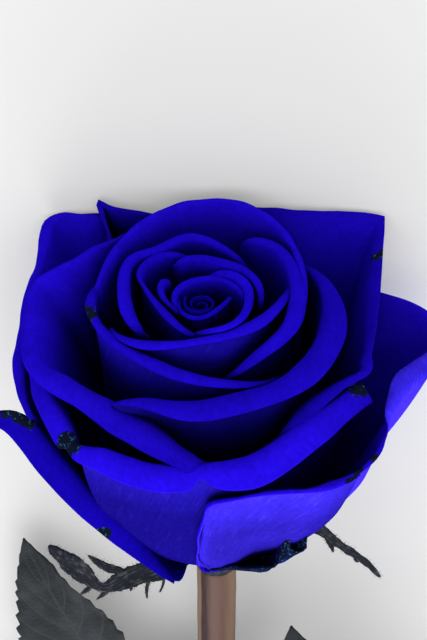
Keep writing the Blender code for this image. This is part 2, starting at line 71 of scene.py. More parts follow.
class Slot(Enum):
    """The record's material slots."""

    PETAL = "petal_blue"
    SEPAL = "sepal_green"
    STEM = "stem_brown"
    LEAF = "leaf_green"


class Node(Enum):
    """The solids that the finished pieces stand for."""

    BLOOM = "bloom"
    CALYX = "calyx"
    STEM = "stem"
    LEAF_1 = "leaf_1"
    LEAF_2 = "leaf_2"
    LEAF_3 = "leaf_3"


@dataclass(frozen=True)
class Lie:
    """How the upright flower is laid down.

    Attributes:
        tilt: how far the head end is raised, in degrees.
        roll: the turn about the stem before it, in degrees.
        place: where the seat of the petals goes, in millimetres.
    """

    tilt: float = 4.040
    roll: float = 2.553
    place: Point = (7.486, 128.054, 27.432)

    def turn(self) -> Matrix:
        """The turn from the upright frame to the lying one."""
        return (Matrix.Rotation(math.radians(self.tilt - 90), 4, "X")
                @ Matrix.Rotation(math.radians(self.roll), 4, "Z"))

    def matrix(self) -> Matrix:
        """The whole change from upright millimetres to lying metres."""
        return Matrix.Translation(Vector(self.place) * MM) @ self.turn() @ Matrix.Scale(MM, 4)


LIE = Lie()


@dataclass(frozen=True)
class View:
    """How the photograph looks at the upright bloom, which places what is read in it.

    Attributes:
        elevation: how far it looks down, in degrees.
        distance: from the camera to the heart, in millimetres.
        focal: its focal length, in pixels.
        heart: the point of the bloom that is seen at heart_pixel.
        heart_pixel: where the heart is in the photograph.
        frame: the photograph's width and height.
    """

    elevation: float = 40.0
    distance: float = 380.0
    focal: float = 1843.0
    heart: Point = (-3.5, 0.0, 66.0)
    heart_pixel: tuple[float, float] = (200.0, 300.0)
    frame: tuple[int, int] = (427, 640)

    def axes(self) -> tuple[Vector, Vector, Vector]:
        """The camera's right, up and forward directions."""
        tilt = math.radians(self.elevation)
        return (
            Vector((1, 0, 0)), Vector((0, math.sin(tilt), math.cos(tilt))),
            Vector((0, math.cos(tilt), -math.sin(tilt))),
        )

    def eye(self) -> Vector:
        """Where the camera stands."""
        right, up, look = self.axes()
        aside = (self.frame[0] / 2 - self.heart_pixel[0]) * self.distance / self.focal
        above = (self.heart_pixel[1] - self.frame[1] / 2) * self.distance / self.focal
        return Vector(self.heart) + right * aside + up * above - look * self.distance

    def at_height(self, x: float, y: float, height: float) -> Vector:
        """Finds the point at a height that is seen at a pixel.

        Args:
            x: pixels from the photograph's left edge.
            y: pixels from its upper edge.
            height: height of the point in the upright flower, in millimetres.

        Returns:
            The point, in upright millimetres.
        """
        right, up, look = self.axes()
        ray = (look + right * ((x - self.frame[0] / 2) / self.focal)
               + up * ((self.frame[1] / 2 - y) / self.focal))
        eye = self.eye()
        return eye + ray * ((height - eye.z) / ray.z)


VIEW = View()


# Shaping helpers


def lean(height: np.ndarray | float) -> np.ndarray | float:
    """How far the bloom's axis stands to the right at a height: it leans left as it rises."""
    return -3.5 * height / 66.0


def around(azimuth: np.ndarray, radius: np.ndarray, height: np.ndarray) -> np.ndarray:
    """Points of the bloom in space.

    Args:
        azimuth: turns about its axis, in degrees.
        radius: distances from its axis.
        height: heights above the seat.

    Returns:
        An array of the same shape with a last axis of x, y and z.
    """
    turn = np.radians(azimuth)
    return np.stack([radius * np.cos(turn) + lean(height), radius * np.sin(turn), height + 0 * turn], -1)


def unwrapped(azimuths: Sequence[float]) -> np.ndarray:
    """Azimuths that run on through 0 or 360 without a jump."""
    return np.degrees(np.unwrap(np.radians(np.asarray(azimuths, float))))


def smooth_rows(
    rows: np.ndarray, place: Callable[[np.ndarray], np.ndarray], step: float,
) -> tuple[np.ndarray, float]:
    """Evenly spaced rows of the Catmull-Rom curve through some rows.

    Args:
        rows: the rows that the curve passes through; a row given twice makes a corner.
        place: turns rows into points in space, to measure the curve.
        step: the distance between the new rows, in millimetres.

    Returns:
        The new rows, and the length of the curve.
    """
    padded = np.vstack([rows[:1], rows, rows[-1:]])
    t = np.linspace(0, 1, 16, endpoint=False)[:, None]
    fine = []
    for a, b, c, d in zip(padded, padded[1:], padded[2:], padded[3:]):
        fine.append(0.5 * (
            2 * b + (c - a) * t + (2 * a - 5 * b + 4 * c - d) * t**2 + (3 * b - a - 3 * c + d) * t**3
        ))
    fine = np.vstack([*fine, rows[-1:]])
    lengths = np.concatenate([[0], np.cumsum(np.linalg.norm(np.diff(place(fine), axis=0), axis=1))])
    count = max(8, round(lengths[-1] / step)) + 1
    targets = np.linspace(0, lengths[-1], count)
    return (
        np.stack([np.interp(targets, lengths, fine[:, k]) for k in range(fine.shape[1])], -1),
        float(lengths[-1]),
    )


def eased(rows: np.ndarray, reach: float) -> np.ndarray:
    """Evens out rows along a rim, with its two ends kept.

    Args:
        rows: the rows.
        reach: over how many rows, as the width of a bell curve.

    Returns:
        The eased rows.
    """
    wide = max(1, math.ceil(3 * reach))
    bell = np.exp(-0.5 * (np.arange(-wide, wide + 1) / reach) ** 2)
    head = 2 * rows[0] - rows[1 : wide + 1][::-1]
    tail = 2 * rows[-1] - rows[-wide - 1 : -1][::-1]
    padded = np.vstack([head, rows, tail])
    return np.stack([np.convolve(padded[:, k], bell / bell.sum(), "valid") for k in range(rows.shape[1])], -1)


def bezier(corners: Sequence[np.ndarray], t: np.ndarray) -> np.ndarray:
    """Points of a cubic Bezier curve at shares t of its way."""
    a, b, c, d = corners
    s = 1 - t
    return s**3 * a + 3 * s * s * t * b + 3 * s * t * t * c + t**3 * d


def ripple(u: np.ndarray, v: np.ndarray, length: float, seed: int) -> np.ndarray:
    """A smooth uneven surface between about -1 and 1.

    Args:
        u: distances one way, in millimetres.
        v: distances the other way.
        length: the length of its waves.
        seed: which surface.

    Returns:
        Its height at each point.
    """
    draw = random.Random(seed)
    total = np.zeros(np.broadcast(u, v).shape)
    for k in range(6):
        turn = draw.uniform(0, math.tau)
        wave = math.tau / length * draw.uniform(0.6, 1.6)
        total = total + np.sin((u * math.cos(turn) + v * math.sin(turn)) * wave + draw.uniform(0, math.tau))
    return total / 3


def grid_normals(grid: np.ndarray) -> np.ndarray:
    """A unit normal at each point of a grid of points."""
    along = np.gradient(grid, axis=1)
    up = np.gradient(grid, axis=0)
    normal = np.cross(along, up)
    return normal / np.maximum(np.linalg.norm(normal, axis=-1, keepdims=True), 1e-9)


@dataclass
class Shell:
    """Points, faces and the values that the finishes read, gathered before they become one mesh.

    Attributes:
        points: arrays of points, in upright millimetres.
        faces: tuples of point numbers.
        uv: arrays of u and v for each point, in centimetres of real surface.
        values: named numbers for each point.
        count: how many points there are so far.
    """

    points: list[np.ndarray] = field(default_factory=list)
    faces: list[tuple[int, ...]] = field(default_factory=list)
    uv: list[np.ndarray] = field(default_factory=list)
    values: dict[str, list[np.ndarray]] = field(default_factory=dict)
    count: int = 0

    def add(
        self, points: np.ndarray, faces: Sequence[Sequence[int]], uv: np.ndarray, **values: np.ndarray,
    ) -> None:
        """Adds a closed part.

        Args:
            points: its points.
            faces: its faces, numbered from its own first point.
            uv: u and v for each point.
            values: named numbers for each point.
        """
        corners = np.array([[f[0], f[k], f[k + 1]] for f in faces for k in range(1, len(f) - 1)])
        a, b, c = points[corners[:, 0]], points[corners[:, 1]], points[corners[:, 2]]
        inside_out = np.einsum("ij,ij->i", a, np.cross(b, c)).sum() < 0
        for face in faces:
            numbers = [k + self.count for k in face]
            self.faces.append(tuple(reversed(numbers)) if inside_out else tuple(numbers))
        self.points.append(points)
        self.uv.append(uv)
        for name, numbers in values.items():
            self.values.setdefault(name, []).append(np.broadcast_to(numbers, len(points)))
        self.count += len(points)

    def add_sheet(
        self, grid: np.ndarray, half: np.ndarray | float, uv: np.ndarray, sides: tuple[float, float],
        **values: np.ndarray,
    ) -> None:
        """Adds a closed blade round a grid of points, with rounded edges.

        Args:
            grid: rows of points up the middle of the blade.
            half: half its thickness, everywhere or at each point.
            uv: u and v for each point of the grid.
            sides: the value named outer on its two faces.
            values: named numbers for each point of the grid, or a pair of them for its two faces.
        """
        rows, columns = grid.shape[:2]
        normal = grid_normals(grid)
        half = np.broadcast_to(half, (rows, columns))[..., None]
        number = np.arange(rows * columns).reshape(rows, columns)
        quads = np.stack(
            [number[:-1, :-1], number[:-1, 1:], number[1:, 1:], number[1:, :-1]], -1,
        ).reshape(-1, 4)
        border = np.concatenate([number[0, :], number[1:, -1], number[-1, -2::-1], number[-2:0:-1, 0]])
        flat = grid.reshape(-1, 3)
        inward = flat[self._inner(border, rows, columns)] - flat[border]
        push = (inward / np.maximum(np.linalg.norm(inward, axis=1, keepdims=True), 1e-9)
                * half.reshape(-1, 1)[border])
        front, back = (grid + normal * half).reshape(-1, 3), (grid - normal * half).reshape(-1, 3)
        size, ring = rows * columns, len(border)
        faces = [tuple(q) for q in quads] + [tuple(q[::-1] + size) for q in quads]
        for k in range(ring):
            j = (k + 1) % ring
            faces.append((border[j], border[k], 2 * size + k, 2 * size + j))
            faces.append((border[k] + size, border[j] + size, 2 * size + j, 2 * size + k))
        spread = {}
        for name, value in values.items():
            one, two = (
                np.broadcast_to(x, (rows, columns)).reshape(-1)
                for x in (value if isinstance(value, tuple) else (value, value))
            )
            spread[name] = np.concatenate([one, two, (one[border] + two[border]) / 2])
        uv = uv.reshape(-1, 2)
        outer = np.concatenate([
            np.full(size, sides[0]), np.full(size, sides[1]), np.full(ring, sum(sides) / 2),
        ])
        self.add(
            np.vstack([front, back, flat[border] - push * 0.8]), [tuple(int(k) for k in f) for f in faces],
            np.vstack([uv, uv, uv[border]]), outer=outer, **spread,
        )

    @staticmethod
    def _inner(border: np.ndarray, rows: int, columns: int) -> np.ndarray:
        """For each border point of a grid, the number of its neighbour toward the middle."""
        row, column = border // columns, border % columns
        return np.clip(row, 1, rows - 2) * columns + np.clip(column, 1, columns - 2)

    def add_tube(self, path: np.ndarray, radii: np.ndarray, sides: int, **values: np.ndarray) -> None:
        """Adds a closed round tube along a path.

        Args:
            path: the points of its middle line.
            radii: its radius at each of them.
            sides: how many sides it has.
            values: named numbers for each point of the path.
        """
        ahead = np.gradient(path, axis=0)
        ahead /= np.linalg.norm(ahead, axis=1, keepdims=True)
        side = np.cross(ahead[0], (0.3, 0.5, 0.81))
        rings = []
        turn = np.linspace(0, math.tau, sides, endpoint=False)[:, None]
        for point, way, radius in zip(path, ahead, radii):
            side = side - way * side.dot(way)
            side /= np.linalg.norm(side)
            rings.append(point + radius * (np.cos(turn) * side + np.sin(turn) * np.cross(way, side)))
        count = len(path)
        number = np.arange(count * sides).reshape(count, sides)
        turned = np.roll(number, -1, axis=1)
        quads = np.stack([number[:-1], turned[:-1], turned[1:], number[1:]], -1).reshape(-1, 4)
        faces = [tuple(int(k) for k in q) for q in quads]
        faces += [tuple(int(k) for k in number[0][::-1]), tuple(int(k) for k in number[-1])]
        lengths = np.concatenate([[0], np.cumsum(np.linalg.norm(np.diff(path, axis=0), axis=1))]) / 10
        uv = np.stack([np.tile(turn[:, 0] * radii.mean() / 10, count), np.repeat(lengths, sides)], -1)
        spread = {n: np.repeat(np.broadcast_to(x, count), sides) for n, x in values.items()}
        self.add(np.vstack(rings), faces, uv, **spread)

    def mesh(self, name: str) -> bpy.types.Mesh:
        """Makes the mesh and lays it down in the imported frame.

        Args:
            name: the mesh's name.

        Returns:
            The mesh, in lying metres, smooth shaded.
        """
        mesh = bpy.data.meshes.new(name)
        mesh.from_pydata(np.vstack(self.points).tolist(), [], self.faces)
        corner = np.zeros(len(mesh.loops), int)
        mesh.loops.foreach_get("vertex_index", corner)
        layer = mesh.uv_layers.new(name="surface")
        layer.data.foreach_set("uv", np.vstack(self.uv)[corner].astype(np.float32).ravel())
        for label, parts in self.values.items():
            attribute = mesh.attributes.new(label, "FLOAT", "POINT")
            attribute.data.foreach_set("value", np.concatenate(parts).astype(np.float32))
        mesh.transform(LIE.matrix())
        mesh.shade_smooth()
        mesh.update()
        return mesh


def finish_piece(
    mesh: bpy.types.Mesh, material: bpy.types.Material, node: Node,
) -> bpy.types.Object:
    """Puts a laid-down mesh in the scene as a piece of the flower.

    Args:
        mesh: the mesh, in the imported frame.
        material: its finish.
        node: the solid that it stands for.

    Returns:
        The piece.
    """
    mesh.materials.clear()
    mesh.materials.append(material)
    piece = bpy.data.objects.new(mesh.name, mesh)
    bpy.context.scene.collection.objects.link(piece)
    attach(piece, BODY)
    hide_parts(node.value)
    log.info("%s: %d faces on %s", piece.name, len(mesh.polygons), node.value)
    return piece


# Finishes


class Graph:
    """A node tree that is filled one node at a time."""

    def __init__(self, tree: bpy.types.NodeTree) -> None:
        """Keeps the tree to fill."""
        self.tree = tree

    def add(self, kind: str, settings: dict | None = None, inputs: dict | None = None) -> bpy.types.Node:
        """Adds a node.

        Args:
            kind: the node's type.
            settings: its properties.
            inputs: a number, colour or socket for its inputs, by name.

        Returns:
            The node.
        """
        node = self.tree.nodes.new(kind)
        for name, value in (settings or {}).items():
            setattr(node, name, value)
        for name, value in (inputs or {}).items():
            socket = next(s for s in node.inputs if s.enabled and name in (s.name, s.identifier))
            if isinstance(value, bpy.types.NodeSocket):
                self.tree.links.new(value, socket)
            else:
                socket.default_value = value
        return node

    def mix(self, factor: object, a: object, b: object, blend: str = "MIX") -> bpy.types.NodeSocket:
        """Mixes two colours and returns the socket of the result."""
        shades = [(*x, 1.0) if isinstance(x, tuple) and len(x) == 3 else x for x in (a, b)]
        node = self.add(
            "ShaderNodeMix", {"data_type": "RGBA", "blend_type": blend},
            {"Factor": factor, "A": shades[0], "B": shades[1]}
        )
        return next(s for s in node.outputs if s.enabled)

    def math(self, operation: str, *values: object) -> bpy.types.NodeSocket:
        """Works out a number from others and returns its socket."""
        node = self.tree.nodes.new("ShaderNodeMath")
        node.operation = operation
        for socket, value in zip(node.inputs, values):
            if isinstance(value, bpy.types.NodeSocket):
                self.tree.links.new(value, socket)
            else:
                socket.default_value = value
        return node.outputs[0]

    def band(self, value: bpy.types.NodeSocket, low: float, high: float) -> bpy.types.NodeSocket:
        """A number that rises smoothly from 0 at low to 1 at high."""
        node = self.add(
            "ShaderNodeMapRange", {"interpolation_type": "SMOOTHSTEP"},
            {"Value": value, "From Min": low, "From Max": high}
        )
        return node.outputs[0]

    def value(self, name: str) -> bpy.types.NodeSocket:
        """The number that a piece carries under a name."""
        return self.add("ShaderNodeAttribute", {"attribute_name": name}).outputs["Fac"]

    def grey(self, value: bpy.types.NodeSocket) -> bpy.types.NodeSocket:
        """A grey of a brightness."""
        return self.add(
            "ShaderNodeCombineColor", None, {"Red": value, "Green": value, "Blue": value},
        ).outputs[0]

    def noise(
        self, vector: bpy.types.NodeSocket, scale: float, detail: float = 3.0, rough: float = 0.5,
    ) -> bpy.types.NodeSocket:
        """Cloudy noise about 0.5 on a vector."""
        return self.add(
            "ShaderNodeTexNoise", None,
            {"Vector": vector, "Scale": scale, "Detail": detail, "Roughness": rough},
        ).outputs["Fac"]

    def stretched(self, vector: bpy.types.NodeSocket, scale: Point) -> bpy.types.NodeSocket:
        """A vector scaled by a different number each way."""
        return self.add("ShaderNodeMapping", None, {"Vector": vector, "Scale": scale}).outputs[0]

    def bump(
        self, height: bpy.types.NodeSocket, strength: float, distance: float, normal: object = None,
    ) -> bpy.types.NodeSocket:
        """A bumped normal, on top of another if one is given."""
        inputs = {"Height": height, "Strength": strength, "Distance": distance}
        if normal is not None:
            inputs["Normal"] = normal
        return self.add("ShaderNodeBump", None, inputs).outputs[0]


def new_material(name: str, settings: dict) -> tuple[bpy.types.Material, Graph, bpy.types.Node]:
    """Starts a finish on the Principled shader.

    Args:
        name: the material's name.
        settings: values of the shader's own sockets.

    Returns:
        The material, its graph and its shader node.
    """
    material = bpy.data.materials.new(name)
    material.use_nodes = True
    shader = material.node_tree.nodes["Principled BSDF"]
    for key, value in settings.items():
        shader.inputs[key].default_value = (*value, 1.0) if isinstance(value, tuple) else value
    return material, Graph(material.node_tree), shader


@dataclass(frozen=True)
class PetalFinish:
    """Dyed velvet: pure blue inside, paler violet outside with fine veins, dry dark spots at the rim.

    Its colour also carries painted light and shade, and painted shade in its crevices.

    Attributes:
        inner: the deep blue of inner faces.
        inner_pale: their blue where a petal is pale.
        outer: the deep blue of outer faces.
        outer_pale: their violet where a petal is pale.
        vein: the veins of outer faces.
        dry: the dried spots.
        fleck: the light flecks in those.
        painted_crevice_shade_reach: how far off other petals darken a point with painted crevice shade, in
            metres.
        painted_shade_closed_share: how open a point is, as a share, where its painted shade is darkest.
        painted_shade_open_share: how open it is where no painted shade darkens it.
    """

    inner: Colour = (0.0055, 0.0013, 0.40)
    inner_pale: Colour = (0.0200, 0.0040, 0.74)
    outer: Colour = (0.0070, 0.0025, 0.42)
    outer_pale: Colour = (0.0520, 0.0270, 0.90)
    vein: Colour = (0.12, 0.08, 0.97)
    dry: Colour = (0.004, 0.006, 0.016)
    fleck: Colour = (0.02, 0.11, 0.22)
    painted_crevice_shade_reach: float = 0.014
    painted_shade_closed_share: float = 0.1
    painted_shade_open_share: float = 0.6

    def make(self) -> bpy.types.Material:
        """Builds the material."""
        material, graph, shader = new_material("petal_blue", {
            "Roughness": 0.7, "Specular IOR Level": 0.0,
            "Sheen Weight": 0.1, "Sheen Roughness": 0.4, "Sheen Tint": (0.03, 0.008, 1.0),
        })
        place = graph.add("ShaderNodeTexCoord")
        surface, spot = place.outputs["UV"], place.outputs["Object"]
        slanted = graph.add(
            "ShaderNodeMapping", None, {"Vector": surface, "Rotation": (0.0, 0.0, 0.5)},
        ).outputs[0]
        veins = graph.noise(graph.stretched(slanted, (17.0, 0.9, 1.0)), 1.6, 4.0, 0.6)
        vein_line = graph.band(veins, 0.55, 0.72)
        cloud = graph.noise(spot, 160.0, 4.0, 0.6)
        mottle = graph.noise(spot, 850.0, 3.0, 0.6)
        pale = graph.value("pale")
        strong = graph.math("MULTIPLY", pale, pale)
        inside = graph.mix(pale, self.inner, self.inner_pale)
        outside = graph.mix(strong, self.outer, self.outer_pale)
        outside = graph.mix(
            graph.math("MULTIPLY", vein_line, graph.math("MULTIPLY", strong, 0.5)), outside, self.vein,
        )
        petal = graph.mix(graph.value("outer"), inside, outside)
        # Random cloud, vein and mottle lightness.
        tone = graph.math("ADD", 0.75, graph.math("MULTIPLY", cloud, 0.5))
        tone = graph.math("ADD", tone, graph.math("MULTIPLY", graph.math("SUBTRACT", veins, 0.5), 0.6))
        tone = graph.math("ADD", tone, graph.math("MULTIPLY", graph.math("SUBTRACT", mottle, 0.5), 0.6))
        # Times the painted light and shade that the petal carries at each point.
        tone = graph.math("MULTIPLY", tone, graph.value("tone"))
        # Ambient occlusion darkens the colour where other petals stand close: painted shade in the crevices.
        painted_shade_openness = graph.add(
            "ShaderNodeAmbientOcclusion", {"samples": 8}, {"Distance": self.painted_crevice_shade_reach},
        ).outputs["AO"]
        tone = graph.math("MULTIPLY", tone, graph.band(painted_shade_openness, self.painted_shade_closed_share, self.painted_shade_open_share))
        petal = graph.mix(1.0, petal, graph.grey(tone), "MULTIPLY")
        ragged = graph.math("MULTIPLY", graph.math("SUBTRACT", graph.noise(spot, 700.0, 4.0), 0.5), 0.9)
        dry = graph.math(
            "MULTIPLY",
            graph.math("ADD", graph.value("dry"), ragged),
            graph.band(graph.value("dry"), 0.0, 0.2),
        )
        petal = graph.mix(graph.band(dry, 0.3, 0.5), petal, self.dry)
        flecks = graph.band(graph.noise(spot, 900.0, 3.0, 0.7), 0.58, 0.66)
        flecks = graph.math("MULTIPLY", flecks, graph.band(dry, 0.3, 0.45))
        petal = graph.mix(graph.math("MULTIPLY", flecks, 0.8), petal, self.fleck)
        graph.tree.links.new(petal, shader.inputs["Base Color"])
        grain = graph.noise(spot, 2600.0, 2.0)
        lines = graph.bump(veins, 0.10, 0.0003)
        graph.tree.links.new(graph.bump(grain, 0.15, 0.0001, lines), shader.inputs["Normal"])
        return material


@dataclass(frozen=True)
class SepalFinish:
    """Dark dry green, nearly black, on the sepals and the hairs at their edges alike."""

    dark: Colour = (0.009, 0.011, 0.016)
    light: Colour = (0.075, 0.080, 0.092)

    def make(self) -> bpy.types.Material:
        """Builds the material."""
        material, graph, shader = new_material("sepal_green", {"Roughness": 0.75, "Specular IOR Level": 0.1})
        place = graph.add("ShaderNodeTexCoord")
        patches = graph.noise(place.outputs["Object"], 380.0, 5.0, 0.65)
        ribs = graph.noise(graph.stretched(place.outputs["UV"], (22.0, 2.0, 1.0)), 1.5, 3.0)
        shade = graph.mix(
            graph.band(graph.math("MULTIPLY", patches, ribs), 0.24, 0.44), self.dark, self.light,
        )
        graph.tree.links.new(shade, shader.inputs["Base Color"])
        graph.tree.links.new(graph.bump(ribs, 0.5, 0.0004), shader.inputs["Normal"])
        return material


@dataclass(frozen=True)
class StemFinish:
    """Brown bark, with painted shade in dark purple down its left and painted light in a yellowish brown down
    its right.

    It has lilac streaks, and a pale pith at the cut.
    """

    shadow: Colour = (0.030, 0.014, 0.016)
    brown: Colour = (0.098, 0.055, 0.044)
    painted_light_tan: Colour = (0.175, 0.112, 0.072)
    lilac: Colour = (0.105, 0.070, 0.080)
    pith: Colour = (0.45, 0.46, 0.30)

    def make(self) -> bpy.types.Material:
        """Builds the material."""
        material, graph, shader = new_material("stem_brown", {"Roughness": 0.6, "Specular IOR Level": 0.12})
        place = graph.add("ShaderNodeTexCoord")
        surface = place.outputs["UV"]
        wide = graph.noise(graph.stretched(surface, (1.6, 0.12, 1.0)), 1.6, 2.0)
        fine = graph.noise(graph.stretched(surface, (26.0, 1.2, 1.0)), 1.4, 4.0, 0.6)
        side = graph.math("ADD", graph.value("side"), graph.math("SUBTRACT", wide, 0.5))
        # Painted shade down the left side and painted light down the right, by which side a point faces.
        shade = graph.mix(graph.band(side, -0.55, -0.1), self.shadow, self.brown)
        shade = graph.mix(graph.band(side, 0.2, 0.8), shade, self.painted_light_tan)
        # A painted light strip down the far left edge.
        shade = graph.mix(graph.band(side, -0.78, -0.95), shade, self.painted_light_tan)
        shade = graph.mix(graph.math("MULTIPLY", graph.band(fine, 0.5, 0.75), 0.4), shade, self.lilac)
        shade = graph.mix(graph.value("cut"), shade, self.pith)
        graph.tree.links.new(shade, shader.inputs["Base Color"])
        graph.tree.links.new(graph.bump(fine, 0.2, 0.0003), shader.inputs["Normal"])
        return material


@dataclass(frozen=True)
class LeafFinish:
    """Dark blue-grey green above, paler beneath, with lighter veins."""

    above: Colour = (0.008, 0.011, 0.013)
    above_light: Colour = (0.018, 0.021, 0.026)
    below: Colour = (0.040, 0.052, 0.052)
    vein: Colour = (0.024, 0.029, 0.028)
    stalk: Colour = (0.09, 0.06, 0.045)

    def make(self) -> bpy.types.Material:
        """Builds the material."""
        material, graph, shader = new_material("leaf_green", {"Roughness": 0.65, "Specular IOR Level": 0.1})
        place = graph.add("ShaderNodeTexCoord")
        spot = place.outputs["Object"]
        patches = graph.noise(spot, 130.0, 4.0, 0.6)
        above = graph.mix(graph.band(patches, 0.35, 0.7), self.above, self.above_light)
        along, across = graph.value("along"), graph.value("across")
        reach = graph.math("ABSOLUTE", across)
        line = graph.math(
            "SUBTRACT", graph.math("MULTIPLY", along, 1.08), graph.math("MULTIPLY", reach, 0.16 * 1.9),
        )
        line = graph.math("ADD", graph.math("MULTIPLY", line, 7.0), 0.9)
        gap = graph.math("ABSOLUTE", graph.math("SUBTRACT", graph.math("FRACT", line), 0.5))
        side_vein = graph.math("SUBTRACT", 1.0, graph.band(gap, 0.02, 0.09))
        midrib = graph.math("SUBTRACT", 1.0, graph.band(reach, 0.015, 0.06))
        vein = graph.math("MAXIMUM", side_vein, midrib)
        above = graph.mix(graph.math("MULTIPLY", vein, 0.55), above, self.vein)
        shade = graph.mix(graph.value("outer"), above, self.below)
        shade = graph.mix(graph.value("stalk"), shade, self.stalk)
        graph.tree.links.new(shade, shader.inputs["Base Color"])
        net = graph.add(
            "ShaderNodeTexVoronoi", {"feature": "DISTANCE_TO_EDGE"}, {"Vector": spot, "Scale": 650.0},
        ).outputs["Distance"]
        cells = graph.bump(graph.band(net, 0.0, 0.25), 0.2, 0.0003)
        graph.tree.links.new(graph.bump(patches, 0.2, 0.0006, cells), shader.inputs["Normal"])
        return material


# Bloom


@dataclass(frozen=True)
class Petal:
    """One petal.

    Attributes:
        name: what it is called.
        belly: how far out its cup swells low down.
        claw: radius and height of its foot.
        tuck: how much of its belly it keeps, as pairs of a row and a share.
        seen: rows along its rim that the photograph shows: pixel x, pixel y, the height that was
        judged in millimetres, and the radius of the rolled lip.
        hidden: further rows that it doesn't show: azimuth, radius, height and radius of the lip.
        flare: how far its rim leans out, in degrees, as pairs of a row and a lean.
        curl: how far its lip rolls over, in degrees, as pairs of a row and a turn. Less than 0 rolls it
            inward.
        hem: how far its lip runs straight on after the roll, in millimetres, as pairs of a row and a length.
        ease: how far along the rim its readings are evened out, in millimetres.
        wave: how uneven its surface is, in millimetres.
        lip: how light its rolled lip is, judged: painted light and shade on the roll.
        inner: how light its inner face is, at the rim and deep down: painted light and shade.
        outer: how light its outer face is, in the same way: painted light and shade.
        pale: how pale and light its colour is, from 0 to 1.
        dry: dry spots, each a row of the rim, a distance below the rim and a reach in millimetres.
        proud: how far its first side edge stands off, in millimetres.
    """

    name: str
    belly: float
    claw: tuple[float, float]
    seen: tuple[tuple[float, float, float, float], ...] = ()
    hidden: tuple[tuple[float, float, float, float], ...] = ()
    tuck: tuple[tuple[float, float], ...] = ((0, 1),)
    flare: tuple[tuple[float, float], ...] = ((0, 0),)
    curl: tuple[tuple[float, float], ...] = ((0, 165),)
    hem: tuple[tuple[float, float], ...] = ((0, 0),)
    ease: float = 1.2
    wave: float = 0.25
    lip: float = 0.75
    inner: tuple[float, float] = (0.75, 0.4)
    outer: tuple[float, float] = (0.65, 0.35)
    pale: float = 0.3
    dry: tuple[tuple[float, float, float], ...] = ()
    proud: float = 0.0

    def rows(self) -> np.ndarray:
        """The rim's rows as azimuth, radius, height, roll of the lip and number of the row."""
        rows = []
        for x, y, height, lip in self.seen:
            point = VIEW.at_height(x, y, height)
            aside = point.x - lean(height)
            rows.append((math.degrees(math.atan2(point.y, aside)), math.hypot(point.y, aside), height, lip))
        table = np.array([*rows, *self.hidden], float)
        table[:, 0] = unwrapped(table[:, 0])
        return np.column_stack([table, np.arange(len(table))])


